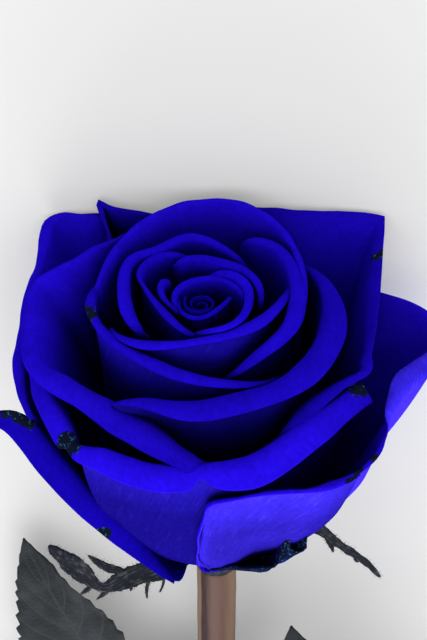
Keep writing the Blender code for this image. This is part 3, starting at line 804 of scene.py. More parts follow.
PETALS = (
    Petal(
        "heart_front", belly=6, claw=(1.5, 6),
        seen=((186, 289.5, 62, 0.3), (181, 292.5, 63, 0.3), (179, 298, 63.5, 0.35), (179, 304, 64, 0.4),
              (181, 309.5, 64.3, 0.4), (185, 313.8, 64.6, 0.4), (191, 316.5, 64.8, 0.4),
              (198, 317.3, 65, 0.4), (205, 315.8, 65, 0.4), (211, 312.3, 65.2, 0.4),
              (217, 308.2, 65.5, 0.4), (223, 303.3, 65.8, 0.35), (229.5, 297.3, 66, 0.3)),
        wave=0.05, pale=0.1,
        lip=1, inner=(0.9, 0.5), outer=(0.9, 0.4),
    ),
    Petal(
        "heart_arch", belly=8, claw=(1.7, 6),
        seen=((190, 319.5, 61, 0.3), (182, 315.5, 62.5, 0.3), (176.5, 309.5, 63.7, 0.4),
              (174.3, 302, 64.5, 0.55), (174.5, 294.5, 65, 0.65), (178, 287.5, 65.5, 0.7),
              (185, 282.5, 66, 0.7), (193, 279.8, 66, 0.65), (203, 278, 66, 0.7), (213, 277, 66, 0.6),
              (222, 278.5, 66, 0.5), (230, 282, 66, 0.5), (238, 287.5, 65.5, 0.45), (243, 293, 65, 0.4),
              (245, 299, 64.5, 0.3), (244, 305.5, 62.5, 0.3)),
        wave=0.05, pale=0.2,
        lip=1.1, inner=(0.9, 0.5), outer=(0.9, 0.4),
    ),
    Petal(
        "heart_left", belly=9, claw=(1.9, 5.5),
        seen=((169.5, 282.5, 65, 0.4), (168.5, 280, 66, 0.55), (164.8, 279, 66.3, 0.7),
              (161.5, 281.7, 66.3, 0.75), (160.3, 287, 66, 0.7), (161.5, 293, 65.8, 0.6),
              (164.5, 299, 65.3, 0.5), (169, 304, 64.8, 0.4), (175, 309.5, 64, 0.35),
              (182, 315.5, 63, 0.3), (189, 322, 61, 0.3)),
        ease=0.6, wave=0.05, pale=0.2,
        lip=1.1, outer=(1, 0.5),
    ),
    Petal(
        "heart_right", belly=10, claw=(2.1, 5.5),
        seen=((207, 277, 64, 0.3), (214, 273.5, 66.5, 0.5), (222, 271, 67, 0.8), (231, 272, 67, 0.85),
              (239, 276, 67, 0.9), (245, 281, 66.5, 0.9), (248, 287.5, 66, 0.85), (248.7, 295, 66, 0.75),
              (248, 302, 66, 0.75), (246, 309, 66, 0.65), (242, 315.5, 66, 0.6), (236, 321, 66, 0.55),
              (228, 325.5, 66, 0.5), (218, 328.3, 65.5, 0.5), (208, 330, 65, 0.45),
              (199, 332.5, 63.7, 0.35), (192, 335, 61, 0.3)),
        wave=0.08, pale=0.25,
        lip=1.15, inner=(0.9, 0.5),
    ),
    Petal(
        "heart_back", belly=12, claw=(2.3, 5),
        seen=((168, 276, 57, 0.3), (170, 272, 61, 0.3), (174, 266.5, 65, 0.35), (179, 261, 67.3, 0.5),
              (185, 257.3, 68, 0.7), (193, 256, 68, 0.75), (202, 256, 68, 0.8), (211, 258, 68, 0.8),
              (220, 260.5, 68, 0.8), (230, 263, 68, 0.75), (240, 266, 68, 0.75), (248, 270.5, 67.5, 0.7),
              (255, 277.3, 66.8, 0.75), (259.3, 285, 66, 0.65), (261, 293, 65, 0.5),
              (260.5, 301, 64, 0.45), (259.5, 309, 62.5, 0.35), (258, 317, 60, 0.3)),
        wave=0.1, pale=0.25,
        lip=1,
    ),
    Petal(
        "heart_corner", belly=13, claw=(2.5, 5),
        seen=((197, 336.5, 62, 0.3), (190, 332.8, 64, 0.45), (181, 326.8, 64.8, 0.6),
              (173, 319.8, 65.2, 0.65), (166, 312.8, 65.4, 0.65), (159, 305.2, 65.6, 0.55),
              (153, 298, 65.8, 0.5), (148, 291.5, 66, 0.45), (144.3, 285.5, 66, 0.4),
              (140.5, 280.5, 66.3, 0.4), (139, 276, 66.8, 0.5), (140.3, 270, 67, 0.8),
              (144.5, 263.5, 67, 0.95), (150.5, 258.5, 67, 0.95), (158, 255, 67, 0.85),
              (168, 253, 67, 0.75), (178, 253.8, 67, 0.6), (187, 257, 66, 0.4), (195, 262, 62.5, 0.3)),
        ease=0.7, wave=0.1, pale=0.25,
        lip=1, outer=(0.9, 0.5),
    ),
    Petal(
        "inner_left", belly=16, claw=(2.8, 4.5),
        seen=((150, 341, 58, 0.3), (146, 336.5, 61, 0.45), (141, 331, 62.5, 0.7), (134, 322, 63.7, 1),
              (128.5, 312, 64.7, 1.2), (125.5, 302, 65.3, 1.3), (123.8, 291, 66, 1.3),
              (123.5, 280, 66.6, 1.3), (124.5, 270, 67, 1.2), (127.5, 261, 67.5, 1.1),
              (133, 255, 67.8, 1), (141, 252, 67.8, 0.9), (151, 249.5, 67.8, 0.9),
              (160, 246.5, 67.8, 0.9), (169, 242, 68, 0.95), (178, 237.5, 68, 1), (187, 235.2, 68, 1.05),
              (195, 235.2, 68, 1.05), (204, 237.2, 68, 1), (213, 241, 68, 0.95), (222, 246, 67.8, 0.9),
              (230, 251, 67.3, 0.8), (237, 256.5, 66.5, 0.7), (243, 263, 65, 0.5), (249, 271, 61.5, 0.3)),
        wave=0.12,
        lip=1,
    ),
    Petal(
        "inner_front", belly=17, claw=(3, 4.5),
        seen=((111, 329, 60.5, 0.3), (114, 332.5, 62, 0.4), (120, 335.8, 63, 0.6),
              (130, 339.5, 63.3, 0.9), (142, 342, 63.5, 1.1), (155, 343.2, 63.7, 1.15),
              (170, 342.7, 64, 1), (185, 341.2, 64, 0.8), (200, 339, 64.2, 0.75), (215, 336, 64.6, 0.85),
              (228, 332.5, 64.9, 1), (240, 328.6, 65.1, 1.15), (252, 323.2, 65.4, 1.3),
              (262, 317.2, 65.6, 1.3), (271, 310, 65.8, 1.2), (279, 302.3, 66, 1), (285, 294.8, 66, 0.6),
              (288.3, 289.5, 65.3, 0.3)),
        wave=0.15, pale=0.35,
        lip=0.9, outer=(0.85, 0.6),
    ),
    Petal(
        "inner_right", belly=19, claw=(3.2, 4),
        seen=((224, 379, 55, 0.3), (232, 374, 57.6, 0.5), (240, 367.5, 59, 0.8), (249, 359.5, 60, 1.1),
              (260, 350.5, 61, 1.3), (271, 342, 62, 1.5), (281, 333, 63, 1.6), (289, 324, 64, 1.7),
              (294, 314, 65, 1.7), (296.5, 303, 65.8, 1.6), (297.5, 292, 66.3, 1.5),
              (297, 281, 66.8, 1.4), (294.5, 270, 67.3, 1.35), (290, 259.5, 67.7, 1.3),
              (283, 250.5, 68, 1.2), (274, 243.5, 68, 1.1), (263, 239.5, 68, 0.95), (252, 239, 67.3, 0.7),
              (244.5, 242, 65.5, 0.5), (240.5, 248, 62, 0.3), (239, 256, 57, 0.3)),
        wave=0.12, pale=0.35,
        lip=0.85,
    ),
    Petal(
        "middle_back", belly=22, claw=(3.4, 4),
        seen=((90, 312, 57, 0.3), (92, 300, 62, 0.35), (96, 289, 65, 0.4), (99.5, 279, 66.5, 0.5),
              (104, 268, 67.3, 0.6), (110, 256, 68, 0.6), (118, 244.5, 68.7, 0.6),
              (127, 234.5, 69.2, 0.6), (138, 225.5, 69.6, 0.6), (150, 217.3, 69.9, 0.6),
              (163, 210.8, 70, 0.55), (177, 205.7, 70, 0.55), (192, 202.3, 70.2, 0.5),
              (207, 200.3, 70.5, 0.45), (221, 199.8, 70.8, 0.4), (233, 201, 71, 0.4),
              (240, 202.7, 70.8, 0.4), (250, 206.8, 70.3, 0.5), (262, 212.8, 69.8, 0.55),
              (273, 219.5, 69.4, 0.6), (283, 229, 69, 0.65), (291, 240.5, 68.5, 0.65),
              (297, 253, 68, 0.65), (301.5, 266, 67.5, 0.6), (304.3, 279, 66.8, 0.55),
              (305, 291, 65.8, 0.5), (303, 303, 64.3, 0.4), (300, 314, 62, 0.35), (296, 326, 58, 0.3)),
        flare=((0, 8),),
        wave=0.3, pale=0.5,
        dry=((15.3, -0.2, 0.7),),
        lip=0.85, inner=(0.8, 0.35),
    ),
    Petal(
        "middle_front", belly=22, claw=(3.6, 3.5),
        seen=((106, 281, 57, 0.3), (100.5, 284, 61.5, 0.35), (96, 288, 64, 0.5), (92.3, 293, 65, 0.8),
              (90, 299, 65, 1), (89.7, 305, 64.5, 0.95), (91.5, 311.5, 63.8, 0.85), (95, 318.5, 63, 0.85),
              (100.5, 326.3, 62.4, 0.9), (108, 334, 62, 1), (117, 340.7, 61.8, 1.1),
              (128, 347.5, 61.6, 1.2), (140, 354.3, 61.3, 1.3), (153, 360.8, 61, 1.35),
              (167, 367, 60.7, 1.35), (182, 372.3, 60.3, 1.35), (198, 376.5, 60, 1.3),
              (214, 379.5, 59.6, 1.2), (230, 381.5, 59.2, 1), (245, 382.5, 58.6, 0.8),
              (258, 382.3, 57.8, 0.6), (269, 380.5, 56, 0.4), (279, 377, 53, 0.3)),
        wave=0.2, pale=0.35,
        dry=((6, 0.3, 1.5),),
        lip=0.8, outer=(0.8, 0.5),
    ),
    Petal(
        "middle_right", belly=25, claw=(3.8, 3.5),
        seen=((292, 262, 54, 0.3), (300, 264, 60, 0.4), (306, 267.5, 63, 0.6), (312, 271, 64, 0.9),
              (318.5, 275.3, 64, 1.3), (324.5, 281.5, 64, 1.7), (329, 289, 63.8, 2),
              (332, 298.5, 63.5, 2.3), (333.3, 309, 63.2, 2.5), (332.3, 320, 62.8, 2.7),
              (329.3, 331, 62.3, 2.8), (324.5, 342, 61.7, 2.8), (317.5, 353, 61, 2.8),
              (308.5, 364, 60.3, 2.7), (297.5, 373.5, 59.7, 2.6), (284, 381.5, 59, 2.5),
              (268, 388, 58.6, 2.5), (250, 393.3, 58.2, 2.5), (232, 398, 57.8, 2.5),
              (214, 402.3, 57.3, 2.4), (196, 405, 56.9, 2.3), (178, 405, 56.7, 2),
              (162, 402.5, 56.6, 1.6), (148, 400.2, 56.6, 1.2), (134, 399.7, 56.6, 0.8),
              (122, 401, 56.2, 0.5), (113, 403.5, 54.5, 0.3), (107, 406, 52, 0.3)),
        flare=((0, 8),),
        pale=0.4,
        lip=0.7, outer=(0.45, 0.25),
    ),
    Petal(
        "outer_left", belly=27, claw=(4, 3),
        seen=((134, 230, 60, 0.3), (128, 233, 63, 0.4), (120, 237.5, 65.2, 0.5), (110, 241.5, 66, 0.6),
              (97, 247.3, 65.8, 0.7), (83, 255.3, 65.3, 0.8), (69, 262.7, 64.6, 0.8),
              (54, 270.7, 64, 0.8), (43, 276, 63.3, 0.8), (36, 281, 62.8, 0.8), (32.3, 290, 62, 0.9),
              (30.7, 301, 61.3, 1.1), (30, 313, 60.5, 1.3), (29.5, 326, 59.5, 1.5),
              (29.5, 340, 58.5, 1.6), (31, 352, 57.5, 1.7), (36, 362, 56.9, 1.8), (45, 370, 56.5, 1.9),
              (57, 377, 56, 2.1), (70, 384.3, 55.5, 2.1), (83, 390.5, 54.9, 2.2), (96, 397.5, 54.2, 2.3),
              (109, 405, 53.4, 2.7), (122, 412.5, 52.6, 2.8), (135, 420.2, 51.8, 2.8),
              (148, 428, 51, 2.7), (160, 436, 50.3, 2.5), (172, 443.8, 49.7, 2.1), (183, 452, 49.2, 2.3),
              (193, 457.3, 48.5, 1.5), (202, 461.3, 47, 0.7), (209, 464, 44.5, 0.3)),
        flare=((0, 15), (6, 25), (10, 42), (16, 42), (20, 20), (29, 10)),
        curl=((0, 150), (16, 150), (20, 140)),
        hem=((15, 0), (19, 1), (23, 2), (29, 2), (31, 0)),
        wave=0.35, pale=0.55,
        lip=0.7, inner=(0.9, 0.45),
    ),
    Petal(
        "outer_back_right", belly=28, claw=(4.2, 3),
        seen=((214, 233, 60, 0.6), (226, 214.3, 64.5, 1.6), (242, 207.7, 66.3, 3), (260, 208.3, 66.8, 4),
              (290, 210.3, 67, 5), (320, 211.3, 66.8, 5.5), (350, 212.3, 66.4, 5.5),
              (370, 214.3, 65.9, 5.5), (383.8, 217, 65.5, 5.5), (383.8, 219.5, 65.2, 5.5),
              (383.3, 235, 63.9, 5.5), (382, 250, 62.5, 5.5), (381, 268, 60.9, 5.5),
              (379.5, 288, 59.2, 5), (377, 310, 57.7, 4.5), (374, 334, 55.9, 3.8), (371, 352, 54.5, 2.6),
              (367, 368.5, 53.2, 1.3), (358, 373.5, 52.9, 1), (346, 378, 52.8, 1.2),
              (334, 385, 52.6, 1.4), (322, 393.5, 52, 1.5), (311, 402.5, 51.4, 1.5),
              (302, 411.8, 50.7, 1.4), (294, 421, 50, 1.2), (286, 430, 48.5, 0.8), (279, 438, 46, 0.4)),
        flare=((0, 15), (8, 22), (16, 22), (20, 15)),
        curl=((0, 50), (16, 50), (18, 165)),
        ease=0.5, wave=0.4, pale=0.45,
        dry=((11.1, 0, 0.8), (11.1, 1.2, 0.7), (11.05, 2.4, 0.6), (11, 3.6, 0.5)),
        lip=0.6, inner=(0.65, 0.4),
    ),
    Petal(
        "outer_back", belly=29, claw=(4.4, 3),
        seen=((116, 250, 57, 0.3), (113, 243.5, 61, 0.4), (110, 236, 63.5, 0.5), (105.5, 224, 65.5, 0.5),
              (101.5, 212, 66.8, 0.5), (99, 203, 67.5, 0.4), (99.8, 202.5, 67.5, 0.4),
              (106, 206, 67.3, 0.4), (120, 209.7, 66.6, 0.4), (140, 212.8, 66, 0.4), (160, 216, 65, 0.4),
              (180, 225, 62.5, 0.3)),
        flare=((0, 12),),
        curl=((0, 120),),
        ease=0.4, wave=0.3, pale=0.4,
        lip=0.55, inner=(0.55, 0.35),
    ),
    Petal(
        "outer_front", belly=27, claw=(4.6, 2.5),
        seen=((33, 344, 47.5, 0.6), (38, 355, 49, 1), (42, 368, 49.5, 1.4), (47, 383, 49.2, 1.7),
              (53, 398, 48.7, 1.8), (59.5, 412, 48, 1.8), (65, 425, 47.3, 1.7), (69, 435.5, 46.6, 1.5),
              (71.5, 442, 46, 1.2), (75.5, 445.5, 45.8, 1.4), (81, 447.5, 46.1, 2),
              (89, 449.5, 46.6, 2.4), (100, 451.5, 47.1, 2.6), (113, 457, 46.8, 2.7), (127, 462, 46.7, 3),
              (141, 466, 46.5, 3.2), (155, 469, 46.3, 3.3), (169, 470.5, 46.4, 3.3),
              (182, 470.5, 46.4, 3.1), (191, 471, 46, 3), (198, 468, 46.6, 1.7), (204, 467.5, 46.9, 1.8),
              (210, 466.5, 47.7, 2.6), (220, 466.3, 48, 3.2), (234, 465, 48.1, 3.3),
              (248, 461.7, 48.1, 3.3), (260, 456.2, 48.4, 3.2), (271, 450, 48.6, 3),
              (282, 442, 48.9, 2.9), (293, 434, 49.2, 2.6), (305, 424.5, 49.4, 2.4),
              (317, 414.5, 49.4, 2.2), (329, 404, 49.4, 2), (340, 395.5, 49.2, 1.8), (350, 388, 49, 1.6),
              (358, 384, 48.5, 1.4)),
        tuck=((0, 1), (22, 1), (25, 0.7), (30, 0.6), (35, 0.6)),
        flare=((0, 12), (8, 5)),
        curl=((0, 110), (8, 125), (10, 140), (25, 140), (34, 150)),
        hem=((0, 1.5), (3, 3), (7, 2.5), (8, 1), (10, 1.2), (14, 1.5), (19, 1.5), (20.5, 0.3), (22, 1.5),
             (25, 2.5), (30, 3), (35, 4.2)),
        ease=0.8, wave=0.3, pale=0.55,
        dry=((8.3, 0.6, 2), (7.6, 2, 1.6), (9.2, 2, 1.4), (34.5, 5.5, 2), (35, 4.2, 1.6)),
        lip=1.05, outer=(0.8, 0.3),
    ),
    Petal(
        "guard_back_left", belly=31, claw=(4.8, 2.5),
        seen=((128, 234, 60, 0.4), (114, 217.5, 63, 0.6), (101, 215.3, 64, 0.8), (82.5, 214.5, 64.3, 0.9),
              (65, 213, 64, 0.9), (54, 216, 63.6, 1), (48.5, 222, 63, 1.1), (46, 233, 61.8, 1.2),
              (43.5, 247, 60.3, 1.2), (39.5, 262, 58.6, 1.2), (34, 280, 57, 1.2), (29, 300, 55, 1.2),
              (24, 320, 53, 1.2), (20, 340, 51, 1.3), (18, 356, 49.2, 1.4), (19, 372, 47.4, 1.4),
              (22, 390, 45.3, 1.2), (27, 408, 43.2, 0.9), (32, 420, 40, 0.4)),
        flare=((0, 15), (6, 24)),
        curl=((0, 120),),
        wave=0.4, pale=0.5,
        lip=0.7, inner=(0.8, 0.5),
    ),
    Petal(
        "guard_right", belly=23, claw=(5, 2),
        seen=((300, 490, 37.5, 0.4), (313, 488, 39, 0.5), (325, 485.5, 39.6, 0.5), (337, 481.8, 40, 0.5),
              (348, 477.3, 40.3, 0.5), (357, 472, 40.6, 0.5), (363, 468, 41, 0.5), (370, 462, 41.4, 0.5),
              (376, 455.5, 41.9, 0.5), (381, 447.5, 42.4, 0.5), (385, 438, 42.9, 0.4),
              (387.5, 429, 43.3, 0.3), (389, 419, 43.7, 0.4), (393.5, 409, 44.2, 0.9),
              (401, 398, 44.8, 1.5), (410, 388, 45.4, 2.1), (420.5, 379, 46, 2.5),
              (431.5, 369.5, 46.7, 2.6), (441, 358, 47.5, 2), (445, 345, 48.3, 1), (441, 332, 49.1, 0.4),
              (432, 319.5, 50, 0.5), (423, 309.5, 50.8, 0.6), (413, 302.5, 51.4, 0.6),
              (402, 299, 51.8, 0.6), (390, 296.5, 52, 0.6), (378, 294, 52, 0.5), (366, 292.5, 50.5, 0.4)),
        tuck=((0, 0.6), (6, 0.6), (10, 1)),
        flare=((0, 12), (10, 18), (16, 28), (23, 25)),
        curl=((0, 120), (9, 110), (11, 0), (12, -150), (18, -150), (20, 0), (21, 110)),
        ease=0.8, wave=0.4, pale=0.75,
        dry=((5.2, 0.2, 1.1), (7.6, 0.2, 0.9)),
        lip=0.8, inner=(0.65, 0.5), outer=(1.4, 1.6),
    ),
    Petal(
        "guard_front_right", belly=27, claw=(5.1, 2),
        seen=((201, 567, 9.5, 0.25), (197.5, 560, 13, 0.5), (198, 548, 18.5, 0.7), (199.5, 535, 24, 0.8),
              (202, 522, 29.3, 0.8), (205, 510, 34, 0.8), (209.5, 503, 36.3, 0.7),
              (219, 500.5, 36.8, 0.6), (234, 498, 37, 0.5), (250, 494.8, 37.2, 0.5),
              (268, 492.5, 37.5, 0.5), (286, 491.3, 38, 0.5), (305, 490.5, 38.5, 0.5),
              (320, 489.3, 39, 0.5), (334, 486, 39.5, 0.5), (346, 480.8, 40, 0.5),
              (354, 476.5, 40.3, 0.5), (359, 473.5, 40, 0.4)),
        tuck=((0, 0.7), (4, 0.85), (6, 0.95), (8, 0.9), (10, 0.75), (12, 0.7)),
        flare=((0, 5), (6, 14)),
        curl=((0, 90), (2, 165), (6, 120)),
        ease=0.6, wave=0.3, pale=0.95, proud=1.5,
        dry=((15.6, 0.2, 1.2),),
        lip=1.05, outer=(0.8, 0.4),
    ),
    Petal(
        "guard_left", belly=32, claw=(5, 2),
        seen=((-6, 411, 43.5, 1.6), (5, 410.5, 42.8, 2), (14, 412.5, 42, 2.2), (22, 417, 41, 2.3),
              (29, 424, 40, 2.4), (37, 434, 38.4, 2.5), (46, 446, 36.5, 2.5), (56, 458.5, 34.5, 2.5),
              (67, 471.5, 32, 2.5), (80, 485.5, 29.3, 2.5), (94, 500, 26.3, 2.4), (109, 514, 23, 2.4),
              (123, 527, 19.5, 2.2), (137, 541, 15.8, 2), (151, 556, 11.5, 1.5), (163, 569.5, 8, 1),
              (174, 581, 5, 0.4)),
        flare=((0, 25), (8, 35)),
        curl=((0, 115),),
        hem=((0, 3.5), (6, 3), (12, 2), (16, 0)),
        ease=0.8, wave=0.4, pale=0.2,
        dry=((0.8, 5.8, 1.6), (2.2, 6, 1.8), (3.6, 6.2, 1.5), (11.3, 0.4, 1.4)),
        lip=0.65, inner=(0.55, 0.4), outer=(0.5, 0.4),
    ),
    Petal(
        "guard_back", belly=25, claw=(5, 2),
        hidden=((48, 33, 50, 1), (62, 31, 52, 1.2), (80, 29.3, 53, 1.3), (98, 29.3, 52.5, 1.3),
                (113, 31, 51, 1)),
        flare=((0, 10),),
        wave=0.4, pale=0.6,
        lip=0.45, inner=(0.4, 0.3), outer=(0.4, 0.4),
    ),
    Petal(
        "guard_base", belly=22, claw=(5.3, 0.6),
        seen=((207, 571.5, 7, 0.3), (215, 569.5, 8.3, 0.4), (229, 566.5, 9.4, 0.5), (247, 568.5, 9, 0.6),
              (262, 568.5, 9, 0.7), (275, 565.5, 9.8, 0.7), (283, 550.5, 13.6, 0.5),
              (288, 538, 17.5, 0.3), (291, 548, 14.5, 0.4), (297, 550, 14, 0.5), (304, 549, 14, 0.4),
              (306, 542, 16, 0.3)),
        hidden=((320, 27, 19, 0.3), (330, 24, 20, 0.3)),
        flare=((0, 35),),
        curl=((0, 60),),
        ease=0.3, wave=0.5,
        dry=((1, 0.2, 1.4), (2.6, 2, 4), (3, 7, 4), (4.2, 2, 6), (4.5, 8, 6), (6, 2, 6), (7.5, 2, 6),
             (9.5, 2, 6), (11.5, 1, 5)),
        lip=0.9, outer=(1.1, 1),
    ),
)


@dataclass
class Bloom:
    """The head of the rose: its petals, the coil at its heart and the seat that carries their claws.

    Attributes:
        finish: the material of the petals.
        thickness: a petal's thickness at its foot, in millimetres.
        rim_thickness: its thickness at the rim.
        claw_share: how much of the rim's width the claw keeps.
        step: the distance between columns of points along a rim.
        body_rows: rows of points from the claw to the rim.
        lip_rows: rows of points over the rolled lip.
        hem_rows: rows of faces along the straight part after it.
        core_turns: how often the coil goes round.
        painted_lip_light_depth: how far over the lip, in millimetres, its painted light and shade is reached.
        deep: how far below the rim a face has the painted light and shade given for deep down.
        painted_end_shade_share: the share of the rim over which a petal darkens toward each end: painted
            shade where it tucks under its neighbours.
        end_tone: how light it is at its ends, where 1 is as light as its middle: painted shade.
    """

    finish: bpy.types.Material
    thickness: float = 0.6
    rim_thickness: float = 0.4
    claw_share: float = 0.35
    step: float = 1.2
    body_rows: int = 30
    lip_rows: int = 12
    hem_rows: int = 5
    core_turns: float = 2.0
    painted_lip_light_depth: float = 2.5
    deep: float = 15.0
    painted_end_shade_share: float = 0.2
    end_tone: float = 0.7

    def build(self) -> None:
        """Makes every piece of the bloom."""
        for number, petal in enumerate(PETALS):
            self.build_petal(petal, number)
        self.build_core()
        self.build_seat()

    def build_petal(self, petal: Petal, seed: int) -> None:
        """Makes one petal.

        Args:
            petal: its shape.
            seed: which unevenness its surface has.
        """
        rim, width = smooth_rows(petal.rows(), lambda r: around(r[:, 0], r[:, 1], r[:, 2]), self.step)
        rim = eased(rim, petal.ease / (width / (len(rim) - 1)))
        azimuth, radius, height, lip, row = (rim[:, k][None, :] for k in range(5))
        flare = np.radians(np.interp(row, *zip(*petal.flare)))
        curl = np.radians(np.interp(row, *zip(*petal.curl)))
        rise, out = (np.sin(flare), np.cos(flare)), (np.cos(flare), -np.sin(flare))
        hem = np.maximum(np.interp(row, *zip(*petal.hem)), 0.15)
        way, bend = np.sign(curl), np.abs(curl)
        crest = np.where(way > 0, np.minimum(math.pi / 2 - flare, bend), np.minimum(flare, bend))
        end_r = radius - lip * (np.sin(crest) * rise[0] + way * (1 - np.cos(crest)) * out[0])
        end_h = height - lip * (np.sin(crest) * rise[1] + way * (1 - np.cos(crest)) * out[1])
        claw_r, claw_h = petal.claw
        reach = 0.4 * np.hypot(end_r - claw_r, end_h - claw_h)
        t = np.linspace(0, 1, self.body_rows)[:, None]
        tall = np.clip(end_h / 30, 0, 1)
        swell = (np.minimum(petal.belly, end_r * (0.5 + 0.5 * tall) + 6 * tall)
                 * np.interp(row, *zip(*petal.tuck)))
        body_r = bezier((claw_r, swell, end_r - reach * rise[0], end_r), t)
        body_h = bezier((claw_h, claw_h + 1 - 4 * tall, end_h - reach * rise[1], end_h), t)
        centre = (azimuth[0, 0] + azimuth[0, -1]) / 2
        share = self.claw_share + (1 - self.claw_share) * (1 - (1 - t) ** 3)
        body = around(centre + (azimuth - centre) * share, body_r, body_h)
        turn = np.linspace(0, 1, self.lip_rows + 1)[1:, None] * bend
        roll_r = end_r + lip * (np.sin(turn) * rise[0] + way * (1 - np.cos(turn)) * out[0])
        roll_h = end_h + lip * (np.sin(turn) * rise[1] + way * (1 - np.cos(turn)) * out[1])
        onward = np.linspace(0, 1, self.hem_rows + 1)[1:, None] * hem
        hem_r = roll_r[-1] + onward * (np.cos(bend) * rise[0] + way * np.sin(bend) * out[0])
        hem_h = roll_h[-1] + onward * (np.cos(bend) * rise[1] + way * np.sin(bend) * out[1])
        edge_r, edge_h = np.concatenate([roll_r, hem_r]), np.concatenate([roll_h, hem_h])
        grid = np.concatenate([body, around(azimuth + 0 * edge_r, edge_r, edge_h)])
        climb = np.concatenate([
            np.zeros((1, grid.shape[1])), np.cumsum(np.linalg.norm(np.diff(grid, axis=0), axis=2), axis=0),
        ])
        across = np.linspace(0, width, grid.shape[1])[None, :] + 0 * climb
        normal = grid_normals(grid)
        if np.sum(normal[self.body_rows // 2] * around(azimuth[0], 1.0 + 0 * azimuth[0], 0 * azimuth[0])) < 0:
            sides, outward = (0.0, 1.0), -normal
        else:
            sides, outward = (1.0, 0.0), normal
        below = climb[self.body_rows - 1] - climb
        # The painted light and shade of its two faces.
        inner, outer = self.tones(petal, below, row / row[0, -1])
        fade = np.clip(climb / climb[self.body_rows - 1], 0, 1) ** 1.5
        uneven = (ripple(across, climb * 0.6, 17.0, 50 + seed) * 0.7
                  + ripple(across, climb * 0.4, 6.5, 90 + seed) * 0.3)
        stand = petal.proud * np.clip(1 - across / 6.0, 0, 1) ** 2 * fade
        grid = grid + outward * (uneven * fade * petal.wave + stand)[..., None]
        half = (self.thickness + (self.rim_thickness - self.thickness) * fade) / 2
        dry = np.zeros_like(climb)
        for place, depth, size in petal.dry:
            column = int(np.argmin(np.abs(row[0] - place)))
            spot = (
                grid[-1, column] if depth < 0
                else grid[np.argmin(np.abs(climb[-1, column] - climb[:, column] - depth)), column]
            )
            dry = np.maximum(dry, 1 - np.linalg.norm(grid - spot, axis=2) / (2 * size))
        shell = Shell()
        shell.add_sheet(
            grid, half, np.stack([across, climb], -1) / 10, sides, dry=np.clip(dry, 0, 1),
            tone=(outer, inner) if sides[0] else (inner, outer), pale=petal.pale,
        )
        finish_piece(shell.mesh("petal_" + petal.name), self.finish, Node.BLOOM)

    def tones(self, petal: Petal, below: np.ndarray, share: np.ndarray) -> list[np.ndarray]:
        """The painted light and shade on the inner and the outer face of a petal: how light each is.

        Args:
            petal: the petal.
            below: distances below its rim, in millimetres, less than 0 over the lip.
            share: shares of the way along its rim.

        Returns:
            How light each face is painted at each point.
        """
        # Painted shade toward both ends of the rim, where the petal tucks under its neighbours.
        side = np.interp(
            share, (0, self.painted_end_shade_share, 1 - self.painted_end_shade_share, 1), (self.end_tone, 1, 1, self.end_tone),
        )
        depths = (-self.painted_lip_light_depth, 0.0, self.deep)
        return [np.interp(below, depths, (petal.lip, *face)) * side for face in (petal.inner, petal.outer)]

    def build_core(self) -> None:
        """Makes the tight coil at the very heart, a petal rolled up on itself."""
        share = np.linspace(0, 1, 110)[None, :]
        height = np.linspace(5, 64.3, 34)[:, None]
        radius = (0.9 + 1.25 * self.core_turns * share) * (0.7 + 0.3 * (height / 64.3) ** 3)
        grid = around(150 - 360 * self.core_turns * share, radius, height + share * 1.4 * height / 64.3)
        shell = Shell()
        uv = np.stack([share * 3 + 0 * height, height / 10 + 0 * share], -1)
        # It darkens from its top down into the coil: painted shade.
        shell.add_sheet(
            grid, self.rim_thickness / 2, uv, (0.0, 0.0), dry=0.0,
            tone=0.55 * np.clip(1 - (64.3 - height) / 6, 0.1, 1) + 0 * share, pale=0.0,
        )
        finish_piece(shell.mesh("petal_core"), self.finish, Node.BLOOM)

    def build_seat(self) -> None:
        """Makes the seat under the claws."""
        shell = Shell()
        path = np.array([(0, 0, h) for h in np.linspace(0.7, 8, 14)])
        radii = 6.5 * np.sqrt(np.clip(1 - ((path[:, 2] - 0.7) / 8.2) ** 3, 0.02, 1))
        # Its lightness of 0.3 is painted shade under the petals.
        shell.add_tube(path, radii, 32, outer=1.0, dry=0.0, tone=0.3, pale=0.5)
        finish_piece(shell.mesh("petal_seat"), self.finish, Node.BLOOM)


# Growth by Geometry Nodes


